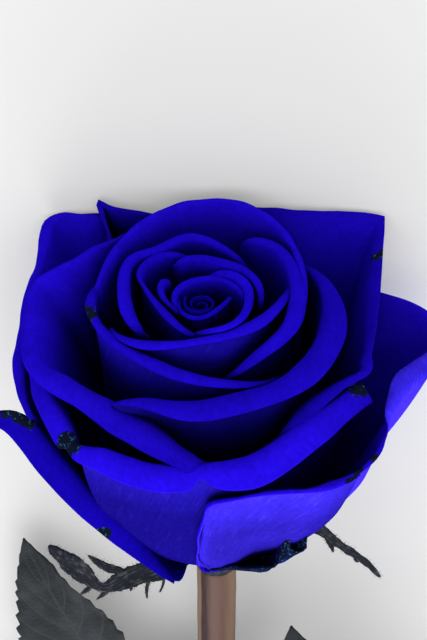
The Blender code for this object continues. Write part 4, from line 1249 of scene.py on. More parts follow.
class Growth:
    """A Geometry Nodes tree with named inputs, run once on a mesh to give a plain mesh.

    Attributes:
        tree: the node group.
        graph: fills it.
        source: the group's input node.
    """

    def __init__(self, name: str, sizes: dict[str, float | int]) -> None:
        """Starts a tree.

        Args:
            name: its name.
            sizes: its number inputs and their values.
        """
        self.tree = bpy.data.node_groups.new(name, "GeometryNodeTree")
        self.sizes = {}
        self.tree.interface.new_socket(name="Geometry", in_out="INPUT", socket_type="NodeSocketGeometry")
        for label, value in sizes.items():
            kind = "NodeSocketInt" if isinstance(value, int) else "NodeSocketFloat"
            socket = self.tree.interface.new_socket(name=label, in_out="INPUT", socket_type=kind)
            self.sizes[socket.identifier] = value
        self.tree.interface.new_socket(name="Geometry", in_out="OUTPUT", socket_type="NodeSocketGeometry")
        self.graph = Graph(self.tree)
        self.source = self.tree.nodes.new("NodeGroupInput")

    def size(self, name: str) -> bpy.types.NodeSocket:
        """The socket of one of the named inputs."""
        return self.source.outputs[name]

    def attribute(self, name: str, kind: str = "FLOAT") -> bpy.types.NodeSocket:
        """The socket of a named attribute of the geometry."""
        node = self.graph.add("GeometryNodeInputNamedAttribute", {"data_type": kind}, {"Name": name})
        return next(s for s in node.outputs if s.enabled)

    def keep(
        self, geometry: bpy.types.NodeSocket, name: str, value: bpy.types.NodeSocket | float,
    ) -> bpy.types.NodeSocket:
        """Stores a number at each point under a name and returns the geometry's socket."""
        node = self.graph.add(
            "GeometryNodeStoreNamedAttribute", {"data_type": "FLOAT", "domain": "POINT"},
            {"Geometry": geometry, "Name": name, "Value": value},
        )
        return node.outputs[0]

    def finish(self, geometry: bpy.types.NodeSocket, material: bpy.types.Material) -> None:
        """Ends the tree with real geometry in one material."""
        real = self.graph.add("GeometryNodeRealizeInstances", None, {"Geometry": geometry}).outputs[0]
        smooth = self.graph.add("GeometryNodeSetShadeSmooth", None, {"Geometry": real}).outputs[0]
        made = self.graph.add(
            "GeometryNodeSetMaterial", None, {"Geometry": smooth, "Material": material},
        ).outputs[0]
        end = self.tree.nodes.new("NodeGroupOutput")
        self.tree.links.new(made, end.inputs[0])

    def grow(self, mesh: bpy.types.Mesh) -> bpy.types.Mesh:
        """Runs the tree on a mesh.

        Args:
            mesh: what it grows on.

        Returns:
            The result as a plain mesh.
        """
        base = bpy.data.objects.new(mesh.name + "_base", mesh)
        bpy.context.scene.collection.objects.link(base)
        modifier = base.modifiers.new("growth", "NODES")
        modifier.node_group = self.tree
        for identifier, value in self.sizes.items():
            modifier[identifier] = value
        bpy.context.view_layer.update()
        grown = bpy.data.meshes.new_from_object(base.evaluated_get(bpy.context.evaluated_depsgraph_get()))
        grown.name = mesh.name
        bpy.data.objects.remove(base)
        return grown


def points_mesh(
    name: str, points: np.ndarray, edges: Sequence[tuple[int, int]], **values: np.ndarray,
) -> bpy.types.Mesh:
    """A mesh of loose points or lines for a tree to grow on.

    Args:
        name: its name.
        points: its points.
        edges: pairs of point numbers.
        values: named numbers for each point.

    Returns:
        The mesh, in upright millimetres.
    """
    mesh = bpy.data.meshes.new(name)
    mesh.from_pydata(points.tolist(), list(edges), [])
    for label, numbers in values.items():
        mesh.attributes.new(label, "FLOAT", "POINT").data.foreach_set(
            "value", np.asarray(numbers, np.float32),
        )
    return mesh


def blade_grid(
    path: np.ndarray, halves: np.ndarray, facing: Point, shares: np.ndarray, fold: float,
) -> np.ndarray:
    """Rows of points across a blade that follows a path and faces one way.

    Args:
        path: points along its rib.
        halves: its half width at each of them.
        facing: the way that its face looks.
        shares: where the columns stand across it, from -1 to 1.
        fold: how far its edges rise, as a share of the half width.

    Returns:
        A grid of points, a row for each point of the path.
    """
    ahead = np.gradient(path, axis=0)
    ahead /= np.linalg.norm(ahead, axis=1, keepdims=True)
    across = np.cross(ahead, np.asarray(facing, float))
    across /= np.linalg.norm(across, axis=1, keepdims=True)
    face = np.cross(across, ahead)
    half = halves[:, None, None]
    share = shares[None, :, None]
    return path[:, None] + across[:, None] * half * share + face[:, None] * half * fold * share**2


# Calyx


@dataclass(frozen=True)
class Lobe:
    """A side lobe or a spike of a sepal: three points of its rib and its half width."""

    path: tuple[Point, Point, Point]
    half: float


@dataclass(frozen=True)
class Sepal:
    """One sepal: points of its rib with the half width there, the way its outer face looks, and its lobes."""

    name: str
    rib: tuple[tuple[float, float, float, float], ...]
    facing: Point
    lobes: tuple[Lobe, ...] = ()


SEPALS = (
    Sepal(
        "left",
        ((-4.8, -3.6, -4.0, 2.4), (-10.5, -7.0, -5.6, 2.6), (-15.0, -7.9, -7.0, 2.6),
         (-18.2, -8.0, -8.6, 2.5), (-21.0, -8.2, -9.9, 2.5), (-23.6, -8.3, -11.6, 1.7),
         (-25.7, -8.3, -12.7, 1.0), (-27.3, -8.1, -12.3, 1.1), (-29.1, -7.8, -10.5, 1.8),
         (-31.0, -7.5, -8.1, 2.2), (-33.2, -7.2, -5.6, 2.1), (-35.4, -6.9, -3.4, 1.6),
         (-37.1, -6.6, -1.8, 1.0), (-38.0, -6.5, -0.8, 0.3)),
        (-0.1, -0.8, 0.5),
        (
            Lobe(((-21.2, -8.2, -7.2), (-25.0, -8.1, -6.1), (-29.1, -8.0, -2.4)), 0.95),
            Lobe(((-28.7, -7.8, -12.6), (-30.2, -7.9, -14.3), (-31.4, -8.0, -15.4)), 0.4),
            Lobe(((-24.4, -8.2, -12.8), (-26.0, -8.2, -15.0), (-27.7, -8.3, -16.8)), 0.4),
            Lobe(((-14.8, -8.1, -8.6), (-16.0, -8.3, -12.6), (-16.1, -8.5, -16.2)), 0.32),
            Lobe(((-11.8, -7.8, -7.6), (-12.3, -8.0, -12.0), (-13.1, -8.1, -14.6)), 0.2),
            Lobe(((-19.7, -8.3, -11.8), (-19.7, -8.4, -13.0), (-19.8, -8.4, -13.7)), 0.3),
            Lobe(((-33.4, -7.1, -4.8), (-34.0, -7.0, -3.2), (-34.6, -7.0, -1.9)), 0.8),
        ),
    ),
    Sepal(
        "right",
        ((5.6, 0.6, -4.0, 2.2), (12.0, 2.4, -3.8, 2.3), (19.0, 3.6, -3.4, 1.9), (24.0, 4.0, -6.2, 1.3),
         (28.4, 4.0, -11.0, 0.95), (33.0, 4.0, -15.2, 0.8), (36.2, 4.0, -18.6, 0.7), (39.0, 4.0, -22.8, 0.2)),
        (0.2, -0.9, 0.1),
        (
            Lobe(((25.4, 4.0, -8.0), (26.7, 3.9, -11.0), (27.5, 3.8, -13.9)), 0.6),
            Lobe(((32.6, 4.0, -15.0), (33.1, 4.0, -17.0), (33.6, 4.0, -17.6)), 0.4),
            Lobe(((14.0, 2.6, -5.2), (16.5, 2.8, -8.5), (17.5, 2.6, -12.0)), 0.5),
        ),
    ),
    Sepal(
        "front",
        ((0.8, -5.6, -2.2, 2.8), (1.5, -7.4, -2.7, 2.2), (2.0, -9.0, -3.0, 1.2), (2.2, -10.4, -3.2, 0.3)),
        (0.0, -0.3, -1.0),
        (Lobe(((1.8, -8.0, -2.9), (2.8, -8.9, -3.2), (3.5, -9.8, -3.5)), 0.3),),
    ),
    Sepal(
        "back_right",
        ((2.3, 5.0, -2.2, 3.0), (5.2, 12.0, -4.6, 3.1), (8.0, 19.0, -10.0, 2.3), (9.2, 21.6, -15.5, 1.0),
         (9.5, 22.3, -20.0, 1.5), (9.2, 22.2, -25.0, 1.1), (9.0, 22.0, -30.0, 0.25)),
        (0.2, 0.6, -0.7),
        (
            Lobe(((6.2, 14.0, -6.0), (10.6, 15.0, -9.6), (12.0, 16.0, -14.6)), 0.7),
            Lobe(((4.0, 16.0, -8.0), (1.8, 18.6, -11.6), (1.2, 19.4, -15.8)), 0.6),
        ),
    ),
    Sepal(
        "back_left",
        ((-4.1, 3.7, -2.2, 3.0), (-9.6, 8.8, -4.6, 3.1), (-15.0, 14.0, -9.0, 2.4), (-18.4, 17.0, -14.0, 1.1),
         (-20.0, 18.3, -18.5, 1.6), (-20.8, 18.9, -23.0, 1.1), (-21.0, 19.0, -27.0, 0.25)),
        (-0.4, 0.5, -0.7),
        (
            Lobe(((-12.0, 10.0, -6.8), (-16.6, 9.6, -10.4), (-19.2, 9.8, -15.2)), 0.7),
            Lobe(((-11.4, 13.4, -7.6), (-11.8, 17.0, -11.6), (-12.4, 18.4, -16.0)), 0.55),
        ),
    ),
)


@dataclass
class Calyx:
    """The hip under the petals with its five fringed sepals.

    Attributes:
        finish: their material.
        hip: radii and heights of the hip.
        rib_thickness: a sepal's thickness at its rib, in millimetres.
        edge_thickness: its thickness at its edges.
        fold: how far its edges curl back.
        hair_length: the length of the hairs along the edges.
        hair_radius: their radius at the foot.
        hair_density: how many there are on a square millimetre.
        seed: how the hairs fall.
    """

    finish: bpy.types.Material
    hip: tuple[tuple[float, float], ...] = (
        (4.6, -13.1), (4.8, -12.4), (5.6, -11.0), (7.0, -7.8), (7.6, -4.9), (7.5, -2.6), (7.0, -0.6),
        (6.4, 0.5),
    )
    rib_thickness: float = 0.9
    edge_thickness: float = 0.35
    fold: float = 0.25
    hair_length: float = 1.0
    hair_radius: float = 0.045
    hair_density: float = 5.0
    seed: int = 7

    def build(self) -> None:
        """Makes the hip and the sepals."""
        rows, _ = smooth_rows(np.array([(r, 0.0, h) for r, h in self.hip]), lambda p: p, 0.5)
        shell = Shell()
        shell.add_tube(
            np.stack([0 * rows[:, 0], 0 * rows[:, 0], rows[:, 2]], -1), rows[:, 0], 48, outer=0.6, edge=9.0,
        )
        points = shell.points[-1]
        turn = np.arctan2(points[:, 1], points[:, 0])
        points[:, :2] *= (1 + 0.012 * np.cos(turn * 10)[:, None]
                          + 0.008 * ripple(turn * 5, points[:, 2], 3.0, 3)[:, None])
        finish_piece(shell.mesh("hip"), self.finish, Node.CALYX)
        for sepal in SEPALS:
            self.build_sepal(sepal)

    def build_sepal(self, sepal: Sepal) -> None:
        """Makes one sepal with its lobes and its hairs."""
        shell = Shell()
        rows, _ = smooth_rows(np.array(sepal.rib), lambda r: r[:, :3], 0.5)
        self.add_blade(shell, rows[:, :3], rows[:, 3], sepal.facing, 11)
        for lobe in sepal.lobes:
            path, _ = smooth_rows(np.array(lobe.path), lambda r: r, 0.4)
            t = np.linspace(0, 1, len(path))
            self.add_blade(
                shell, path, np.maximum(lobe.half * np.sin(math.pi * (0.12 + 0.88 * t)) ** 0.8, 0.1),
                sepal.facing, 7,
            )
        mesh = shell.mesh("sepal_" + sepal.name)
        finish_piece(self.hairs().grow(mesh), self.finish, Node.CALYX)

    def add_blade(
        self, shell: Shell, path: np.ndarray, halves: np.ndarray, facing: Point, columns: int,
    ) -> None:
        """Adds a sepal's blade or one of its lobes.

        Args:
            shell: what it is added to.
            path: points along its rib.
            halves: its half width at each of them.
            facing: the way that its outer face looks.
            columns: how many points it has across.
        """
        shares = np.linspace(-1, 1, columns)
        along = np.linspace(0, np.linalg.norm(np.diff(path, axis=0), axis=1).sum(), len(path))
        ragged = ripple(along, 0 * along, 2.2, len(path)) * 0.10 + ripple(along, 0 * along, 6.0, 5) * 0.12
        halves = halves * (1 + ragged)
        grid = blade_grid(path, halves, facing, shares, self.fold)
        thick = self.edge_thickness + (self.rib_thickness - self.edge_thickness) * (1 - shares**2)
        thick = np.minimum(thick[None, :], 0.25 + halves[:, None] * 0.8)
        half, uv = thick / 2, np.stack([halves[:, None] * shares / 10, along[:, None] / 10 + 0 * shares], -1)
        middle = grid_normals(grid)[len(path) // 2, columns // 2]
        sides = (1.0, 0.0) if middle.dot(np.asarray(facing)) > 0 else (0.0, 1.0)
        shell.add_sheet(grid, half, uv, sides, edge=halves[:, None] * (1 - np.abs(shares)))

    def hairs(self) -> Growth:
        """The tree that sets fine hairs along the edges of a sepal."""
        growth = Growth("sepal_hairs", {
            "Length": self.hair_length * MM, "Radius": self.hair_radius * MM,
            "Density": self.hair_density / MM**2,
            "Seed": self.seed,
        })
        graph = growth.graph
        near = graph.add(
            "FunctionNodeCompare", {"data_type": "FLOAT", "operation": "LESS_THAN"},
            {"A": growth.attribute("edge"), "B": 0.3},
        )
        spread = graph.add("GeometryNodeDistributePointsOnFaces", None, {
            "Mesh": growth.source.outputs["Geometry"], "Selection": near.outputs[0],
            "Density": growth.size("Density"),
            "Seed": growth.size("Seed"),
        })
        hair = graph.add("GeometryNodeMeshCone", None, {
            "Vertices": 3, "Radius Bottom": growth.size("Radius"), "Radius Top": 0.000005,
            "Depth": growth.size("Length"),
        })
        lean = graph.add(
            "FunctionNodeRandomValue", {"data_type": "FLOAT_VECTOR"},
            {"Min": (-0.7,) * 3, "Max": (0.7,) * 3, "Seed": growth.size("Seed")},
        )
        turn = graph.add("FunctionNodeRotateEuler", {"rotation_type": "EULER", "space": "LOCAL"}, {
            "Rotation": spread.outputs["Rotation"], "Rotate By": lean.outputs[0],
        })
        long = graph.add(
            "FunctionNodeRandomValue", {"data_type": "FLOAT"},
            {"Min": 0.3, "Max": 1.0, "Seed": growth.size("Seed")},
        )
        grown = graph.add("GeometryNodeInstanceOnPoints", None, {
            "Points": spread.outputs["Points"], "Instance": hair.outputs["Mesh"], "Rotation": turn.outputs[0],
            "Scale": next(s for s in long.outputs if s.enabled),
        })
        pale = growth.keep(
            graph.add("GeometryNodeRealizeInstances", None, {"Geometry": grown.outputs[0]}).outputs[0],
            "hair", 1.0,
        )
        both = graph.add("GeometryNodeJoinGeometry")
        growth.tree.links.new(growth.source.outputs["Geometry"], both.inputs[0])
        growth.tree.links.new(pale, both.inputs[0])
        growth.finish(both.outputs[0], self.finish)
        return growth


# Stem


@dataclass
class Stem:
    """The stem from the hip to its slanted cut end, with its thorns.

    Attributes:
        finish: its material.
        radius: its radius at the top, in millimetres.
        end_radius: its radius at the cut.
        top: where it starts.
        length: how far down the cut is.
        slant: how far the cut slopes.
        thorn_length: how far a thorn stands out.
        thorn_base: half the length of its foot.
        thorn_step: the distance between thorns down the stem.
        golden: the turn from one thorn to the next, in degrees.
        swellings: heights where a leaf grows from it.
    """

    finish: bpy.types.Material
    radius: float = 4.6
    end_radius: float = 4.2
    top: float = -12.6
    length: float = 330.0
    slant: float = 3.0
    thorn_length: float = 7.2
    thorn_base: float = 3.0
    thorn_step: int = 34
    golden: float = 137.5
    swellings: tuple[float, ...] = (-122.0, -137.0, -218.0)

    def radius_at(self, height: np.ndarray | float) -> np.ndarray | float:
        """The stem's radius at a height."""
        return self.radius + (self.end_radius - self.radius) * (height + 13.3) / (-self.length + 13.3)

    def build(self) -> None:
        """Makes the bark and the thorns."""
        self.build_bark()
        self.build_thorns()

    def build_bark(self) -> None:
        """Makes the stem itself with its pale pith at the cut."""
        heights = np.concatenate([
            np.arange(self.top, -self.length, -1.2), -self.length - np.array([0, 0.15, 0.18, 0.2, 0.2001]),
        ])
        radii = self.radius_at(heights)
        for place in self.swellings:
            radii = radii + 0.35 * np.exp(-(((heights - place) / 3.5) ** 2))
        radii[-4:] = np.array([0.93, 0.85, 0.4, 0.03]) * self.end_radius
        cut = np.zeros_like(heights)
        cut[-3:] = 1.0
        path = np.stack([0 * heights, 0 * heights, heights], -1)
        shell = Shell()
        shell.add_tube(path, radii, 48, cut=cut, tip=0.0)
        points = shell.points[-1]
        turn = np.arctan2(points[:, 1], points[:, 0])
        rough = (0.010 * ripple(turn * 4.6, points[:, 2] * 0.15, 2.4, 11)
                 + 0.008 * ripple(turn * 4.6, points[:, 2], 9.0, 12))
        points[:, :2] *= 1 + rough[:, None]
        share = np.clip((-points[:, 2] - self.length + 8) / 8, 0, 1)
        points[:, 2] += share * self.slant * (1 - points[:, 1] / self.end_radius)
        # Which side a point faces, for the painted shade and light of the finish.
        shell.values["side"] = [np.cos(turn)]
        finish_piece(shell.mesh("stem_bark"), self.finish, Node.STEM)

    def build_thorns(self) -> None:
        """Makes the thorns, each with a wide foot and hooked a little downward."""
        feet, turns = [], []
        for k, height in enumerate(range(-62, int(-self.length) + 40, -self.thorn_step)):
            azimuth = 20 + self.golden * k
            if math.sin(math.radians(azimuth)) > 0.6 and height < -150:
                azimuth += 180
            out = self.radius_at(height) - 0.8
            feet.append(
                (out * math.cos(math.radians(azimuth)), out * math.sin(math.radians(azimuth)), height),
            )
            turns.append(math.radians(azimuth))
        base = points_mesh("stem_thorns", np.array(feet), [], turn=turns)
        mesh = self.thorns().grow(base)
        mesh.transform(LIE.matrix())
        finish_piece(mesh, self.finish, Node.STEM)

    def thorns(self) -> Growth:
        """The tree that sets a thorn on each point."""
        growth = Growth("thorns", {"Length": self.thorn_length, "Base": self.thorn_base})
        graph = growth.graph
        end = graph.add("ShaderNodeCombineXYZ", None, {"X": growth.size("Length"), "Z": -3.2}).outputs[0]
        line = graph.add("GeometryNodeCurveQuadraticBezier", None, {
            "Resolution": 14, "Start": (-0.6, 0.0, 0.0), "Middle": (3.2, 0.0, -0.2), "End": end,
        })
        way = graph.add("GeometryNodeSplineParameter").outputs["Factor"]
        left = graph.math("SUBTRACT", 1.0, way)
        size = graph.math(
            "ADD",
            graph.math("MULTIPLY", graph.math("POWER", left, 2.6), growth.size("Base")),
            graph.math("MULTIPLY", left, 0.55),
        )
        size = graph.math("ADD", size, 0.05)
        marked = growth.keep(line.outputs[0], "tip", way)
        sized = graph.add("GeometryNodeSetCurveRadius", None, {"Curve": marked, "Radius": size}).outputs[0]
        ring = graph.add(
            "GeometryNodeCurvePrimitiveCircle", {"mode": "RADIUS"}, {"Resolution": 14, "Radius": 1.0},
        )
        thorn = graph.add(
            "GeometryNodeCurveToMesh", None,
            {"Curve": sized, "Profile Curve": ring.outputs[0], "Fill Caps": True},
        )
        if "Scale" in thorn.inputs:
            growth.tree.links.new(graph.add("GeometryNodeInputRadius").outputs[0], thorn.inputs["Scale"])
        turn = graph.add("ShaderNodeCombineXYZ", None, {"Z": growth.attribute("turn")}).outputs[0]
        placed = graph.add("GeometryNodeInstanceOnPoints", None, {
            "Points": growth.source.outputs["Geometry"], "Instance": thorn.outputs[0], "Rotation": turn,
            "Scale": (1.0, 0.5, 1.0),
        })
        growth.finish(growth.keep(placed.outputs[0], "cut", 0.0), self.finish)
        return growth


# Leaves


@dataclass(frozen=True)
class LeafShape:
    """A leaf: the curve of its rachis, the tip of the end leaflet and the way that its upper face looks."""

    node: Node
    rachis: tuple[Point, Point, Point, Point]
    tip: Point
    facing: Point
    half_width: float
    droop: float = 0.1


LEAVES = (
    LeafShape(
        Node.LEAF_1, ((-4.4, 0.6, -122.5), (-13, 4.5, -120.5), (-19, 15, -108), (-23, 16, -83)),
        (-47.4, 19.0, -25.5), (-0.35, -1, 0.1), 16.5,
    ),
    LeafShape(
        Node.LEAF_2, ((4.4, -0.9, -137.5), (15, -4, -135.5), (27, -9, -117), (25, -11, -86)),
        (17.5, -9, -25.5), (0.15, -1, 0.1), 16.0,
    ),
    LeafShape(
        Node.LEAF_3, ((-4.3, -1.0, -218.5), (-15, -4, -216.5), (-30, -10, -200), (-34, -10, -178)),
        (-50, -4, -124), (-0.2, -1, 0.1), 16.0,
    ),
)


@dataclass
class Leaf:
    """A compound leaf: a stalk, two pairs of toothed leaflets and one at its end.

    Attributes:
        finish: its material.
        shape: where it grows.
        thickness: a leaflet's thickness, in millimetres.
        fold: how far its edges rise.
        teeth: how many teeth it has down one side.
        tooth_rows: rows of points on a tooth.
        columns: points across a leaflet.
        veins: how many side veins it has down one side.
        sweep: how far a side vein runs forward.
        quilt: how far it swells between its veins.
    """

    finish: bpy.types.Material
    shape: LeafShape
    thickness: float = 0.5
    fold: float = 0.16
    teeth: int = 17
    tooth_rows: int = 5
    columns: int = 23
    veins: int = 7
    sweep: float = 1.9
    quilt: float = 0.45

    def build(self) -> None:
        """Makes the leaf."""
        facing = np.asarray(self.shape.facing, float)
        facing /= np.linalg.norm(facing)
        t = np.linspace(0, 1, 41)[:, None]
        path = bezier([np.asarray(p, float) for p in self.shape.rachis], t)
        shell = Shell()
        radii = 1.0 + 0.9 * np.exp(-((t[:, 0] / 0.06) ** 2)) - 0.25 * t[:, 0]
        shell.add_tube(path, radii, 12, outer=0.0, stalk=1.0, across=0.0, along=0.0)
        end, tip = path[-1], np.asarray(self.shape.tip, float)
        length = float(np.linalg.norm(tip - end))
        way = (tip - end) / length
        lines: list[np.ndarray] = []
        self.add_leaflet(shell, lines, end - way * 1.5, tip, facing, self.shape.half_width, 31)
        side_way = np.cross(tip - end, facing)
        side_way /= np.linalg.norm(side_way)
        for place, size in ((35, 0.78), (20, 0.62)):
            ahead = path[place + 1] - path[place - 1]
            ahead /= np.linalg.norm(ahead)
            for side in (-1, 1):
                out = ahead * 0.5 + side_way * side * 0.87
                out[1] = min(out[1], 0.0)  # so that none points down into the floor
                self.add_leaflet(
                    shell, lines, path[place], path[place] + out * length * size, facing,
                    self.shape.half_width * size, place + side,
                )
        self.add_stipules(shell, path, facing)
        name = self.shape.node.value
        finish_piece(shell.mesh(name + "_blade"), self.finish, self.shape.node)
        self.build_ribs(name, lines)

    def add_leaflet(
        self, shell: Shell, lines: list[np.ndarray], base: np.ndarray, tip: np.ndarray, facing: np.ndarray,
        half_width: float, seed: int,
    ) -> None:
        """Adds a toothed, quilted leaflet and keeps the lines of its veins.

        Args:
            shell: what it is added to.
            lines: gathers its veins, each as points and radii.
            base: where its blade starts.
            tip: its point.
            facing: the way that its upper face looks.
            half_width: half its width.
            seed: how its surface waves.
        """
        count = self.teeth * self.tooth_rows + 1
        t = np.linspace(0, 1, count)
        length = float(np.linalg.norm(tip - base))
        rise = self.shape.droop * length * 2 * t * (1 - t)
        path = base + (tip - base) * t[:, None] + facing * rise[:, None]
        smooth = np.maximum(half_width * np.sin(math.pi * t**0.65) ** 0.9, 0.25)
        tooth = (np.arange(count) % self.tooth_rows) / (self.tooth_rows - 1)
        toothed = smooth * (1 + 0.085 * (tooth - 0.45) * np.minimum(1, smooth / 3))
        shares = np.linspace(-1, 1, self.columns)
        grid = blade_grid(path, smooth, tuple(facing), shares, self.fold)
        wide = blade_grid(path, toothed, tuple(facing), shares, self.fold)
        grid[:, 0], grid[:, -1] = wide[:, 0], wide[:, -1]
        row, column = t[:, None], shares[None, :]
        vein = self.veins * (row * 1.08 - 0.16 * self.sweep * np.abs(column)) + 0.4
        swell = np.abs(np.sin(math.pi * vein)) ** 0.7 * (1 - column**4) * np.minimum(1, np.abs(column) * 5)
        depth = self.quilt * half_width / 19 * np.minimum(1, smooth / half_width * 1.6)
        ahead = (tip - base) / length
        face = np.cross(np.cross(ahead, facing), ahead)
        side = np.linspace(-1, 1, self.columns) * half_width
        wave = (ripple(side[None, :], row * length, 22.0, seed) * 0.8 * column**2
                + ripple(side[None, :], row * length, 9.0, seed + 9) * 0.35 * np.abs(column) ** 3)
        grid = grid + face * (
            (swell - 0.5) * depth[:, None] + wave * np.minimum(1, smooth / 6)[:, None]
        )[..., None]
        middle = grid_normals(grid)[count // 2, self.columns // 2]
        sides = (0.0, 1.0) if middle.dot(facing) > 0 else (1.0, 0.0)
        half = self.thickness / 2 * (0.55 + 0.45 * (1 - column**2)) + 0 * row
        uv = np.stack([smooth[:, None] * shares / 10, row * length / 10 + 0 * column], -1)
        shell.add_sheet(grid, half, uv, sides, stalk=0.0, across=column + 0 * row, along=row + 0 * column)
        self.keep_lines(lines, grid, face, smooth)

    def keep_lines(
        self, lines: list[np.ndarray], grid: np.ndarray, face: np.ndarray, smooth: np.ndarray,
    ) -> None:
        """Keeps the midrib and the side veins of a leaflet as points with radii.

        Args:
            lines: what they are added to.
            grid: the leaflet's points.
            face: the way that its upper face looks.
            smooth: its half widths.
        """
        count, columns = grid.shape[:2]
        centre = columns // 2
        radii = 0.75 - 0.6 * np.linspace(0, 1, count)
        below = face * self.thickness * 0.5
        lines.append(np.column_stack([grid[:, centre] - below, radii])[: count - 4 : 2])
        for number in range(1, self.veins):
            for side in (-1, 1):
                share = np.linspace(0, 0.93, 10)
                row = ((number - 0.4) / self.veins + 0.16 * self.sweep * share) / 1.08 * (count - 1)
                column = centre + side * share * centre
                keep = row < count - 3
                r0, c0 = (
                    np.floor(row).astype(int)[keep],
                    np.clip(np.floor(column).astype(int), 0, columns - 2)[keep],
                )
                fr, fc = (row[keep] - r0)[:, None], (column[keep] - c0)[:, None]
                points = (grid[r0, c0] * (1 - fr) * (1 - fc) + grid[r0 + 1, c0] * fr * (1 - fc)
                          + grid[r0, c0 + 1] * (1 - fr) * fc + grid[r0 + 1, c0 + 1] * fr * fc)
                if len(points) > 3:
                    lines.append(np.column_stack([points - below * 0.9, (0.34 - 0.2 * share)[keep]]))

    def add_stipules(self, shell: Shell, path: np.ndarray, facing: np.ndarray) -> None:
        """Adds the two small wings at the foot of the stalk."""
        for side in (-1.0, 1.0):
            base, ahead = path[1], path[6] - path[1]
            out = np.cross(ahead, facing)
            out *= side / np.linalg.norm(out)
            t = np.linspace(0, 1, 15)[:, None]
            line = base + ahead * t * 1.7 + out * (0.6 + 2.2 * t**2)
            halves = np.maximum(1.3 * np.sin(math.pi * (0.2 + 0.8 * t[:, 0])) ** 0.7, 0.15)
            shares = np.linspace(-1, 1, 7)
            grid = blade_grid(line, halves, tuple(facing), shares, 0.3)
            uv = np.stack([halves[:, None] * shares / 10, t + 0 * shares], -1)
            shell.add_sheet(grid, 0.2, uv, (0.0, 0.0), stalk=0.4, across=0.0, along=0.0)

    def build_ribs(self, name: str, lines: Sequence[np.ndarray]) -> None:
        """Makes the raised veins under the leaflets."""
        points = np.vstack([line[:, :3] for line in lines])
        radii = np.concatenate([line[:, 3] for line in lines])
        edges, first = [], 0
        for line in lines:
            edges += [(first + k, first + k + 1) for k in range(len(line) - 1)]
            first += len(line)
        mesh = self.ribs().grow(points_mesh(name + "_ribs", points, edges, thick=radii))
        mesh.transform(LIE.matrix())
        finish_piece(mesh, self.finish, self.shape.node)

    def ribs(self) -> Growth:
        """The tree that turns lines into veins."""
        growth = Growth("leaf_ribs", {"Scale": 0.75, "Sides": 6})
        graph = growth.graph
        lines = graph.add(
            "GeometryNodeMeshToCurve", None, {"Mesh": growth.source.outputs["Geometry"]},
        ).outputs[0]
        size = graph.math("MULTIPLY", growth.attribute("thick"), growth.size("Scale"))
        sized = graph.add("GeometryNodeSetCurveRadius", None, {"Curve": lines, "Radius": size}).outputs[0]
        ring = graph.add(
            "GeometryNodeCurvePrimitiveCircle", {"mode": "RADIUS"},
            {"Resolution": growth.size("Sides"), "Radius": 1.0},
        )
        tube = graph.add(
            "GeometryNodeCurveToMesh", None,
            {"Curve": sized, "Profile Curve": ring.outputs[0], "Fill Caps": True},
        )
        if "Scale" in tube.inputs:
            growth.tree.links.new(graph.add("GeometryNodeInputRadius").outputs[0], tube.inputs["Scale"])
        marked = growth.keep(growth.keep(tube.outputs[0], "outer", 1.0), "stalk", 0.25)
        growth.finish(marked, self.finish)
        return growth


# Stage


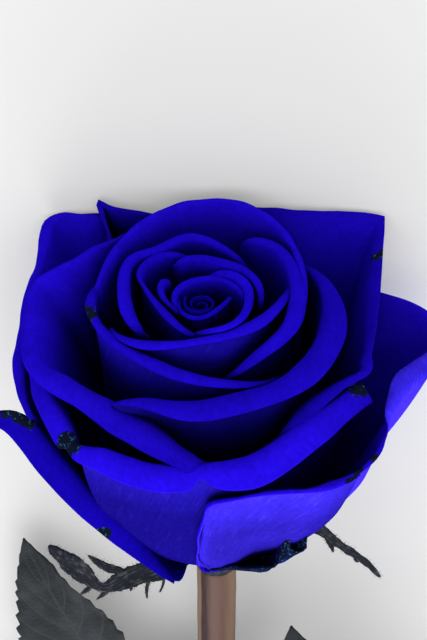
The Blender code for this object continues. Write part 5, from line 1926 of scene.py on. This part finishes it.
@dataclass(frozen=True)
class Studio:
    """The pale floor, the soft light and the camera that looks as the photograph does.

    The floor gives off a little light of its own.
    """

    sensor: float = 36.0
    floor_shade: Colour = (0.42, 0.42, 0.42)
    floor_glow: float = 0.22
    surround: float = 1.0
    power: float = 10.0
    low_power: float = 12.0

    def build(self) -> None:
        """Makes the floor, the lights and the camera."""
        self.build_floor()
        self.build_lights()
        self.build_camera()

    def build_floor(self) -> None:
        """A wide pale floor."""
        mesh = bpy.data.meshes.new("floor")
        reach = 4.0
        mesh.from_pydata(
            [(-reach, -reach, 0), (reach, -reach, 0), (reach, reach, 0), (-reach, reach, 0)], [],
            [(0, 1, 2, 3)],
        )
        material, _, _ = new_material("floor", {
            "Base Color": self.floor_shade, "Roughness": 0.9, "Specular IOR Level": 0.1,
            "Emission Color": (1.0, 1.0, 1.0), "Emission Strength": self.floor_glow,
        })
        mesh.materials.append(material)
        floor = bpy.data.objects.new("floor", mesh)
        bpy.context.scene.collection.objects.link(floor)

    def build_lights(self) -> None:
        """A broad soft light overhead and a pale surround."""
        scene = bpy.context.scene
        world = bpy.data.worlds.new("surround")
        world.use_nodes = True
        world.node_tree.nodes["Background"].inputs["Color"].default_value = (1.0, 1.0, 1.0, 1.0)
        world.node_tree.nodes["Background"].inputs["Strength"].default_value = self.surround
        scene.world = world
        scene.view_settings.view_transform = "Standard"
        self.add_light("overhead", (0.05, 0.05, 1.2), 1.4, self.power)
        self.add_light("low", (-0.15, -1.1, 0.6), 1.0, self.low_power)

    def add_light(self, name: str, place: Point, size: float, power: float) -> None:
        """Adds a square soft light that faces the head of the flower.

        Args:
            name: its name.
            place: where it stands, in metres.
            size: the length of its sides.
            power: its power in watts.
        """
        data = bpy.data.lights.new(name, "AREA")
        data.size = size
        data.energy = power
        light = bpy.data.objects.new(name, data)
        light.location = place
        aim = Vector((0.0, 0.16, 0.03)) - Vector(place)
        light.rotation_euler = aim.to_track_quat("-Z", "Y").to_euler()
        bpy.context.scene.collection.objects.link(light)

    def build_camera(self) -> None:
        """The camera stands above the head as it does in the photograph."""
        right, up, look = VIEW.axes()
        turn = Matrix((right, up, -look)).transposed().to_4x4()
        data = bpy.data.cameras.new("camera")
        data.sensor_fit = "VERTICAL"
        data.sensor_height = self.sensor
        data.sensor_width = self.sensor
        data.lens = VIEW.focal / VIEW.frame[1] * self.sensor
        data.clip_start = 0.01
        camera = bpy.data.objects.new("camera", data)
        camera.matrix_world = Matrix.Translation(LIE.matrix() @ VIEW.eye()) @ LIE.turn() @ turn
        bpy.context.scene.collection.objects.link(camera)
        bpy.context.scene.camera = camera


def main() -> None:
    """Loads the frame, builds the flower round it and sets the stage."""
    logging.basicConfig(level=logging.INFO, format="%(message)s")
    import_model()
    Studio().build()
    Bloom(PetalFinish().make()).build()
    Calyx(SepalFinish().make()).build()
    Stem(StemFinish().make()).build()
    green = LeafFinish().make()
    for shape in LEAVES:
        Leaf(green, shape).build()


if __name__ == "__main__":
    main()
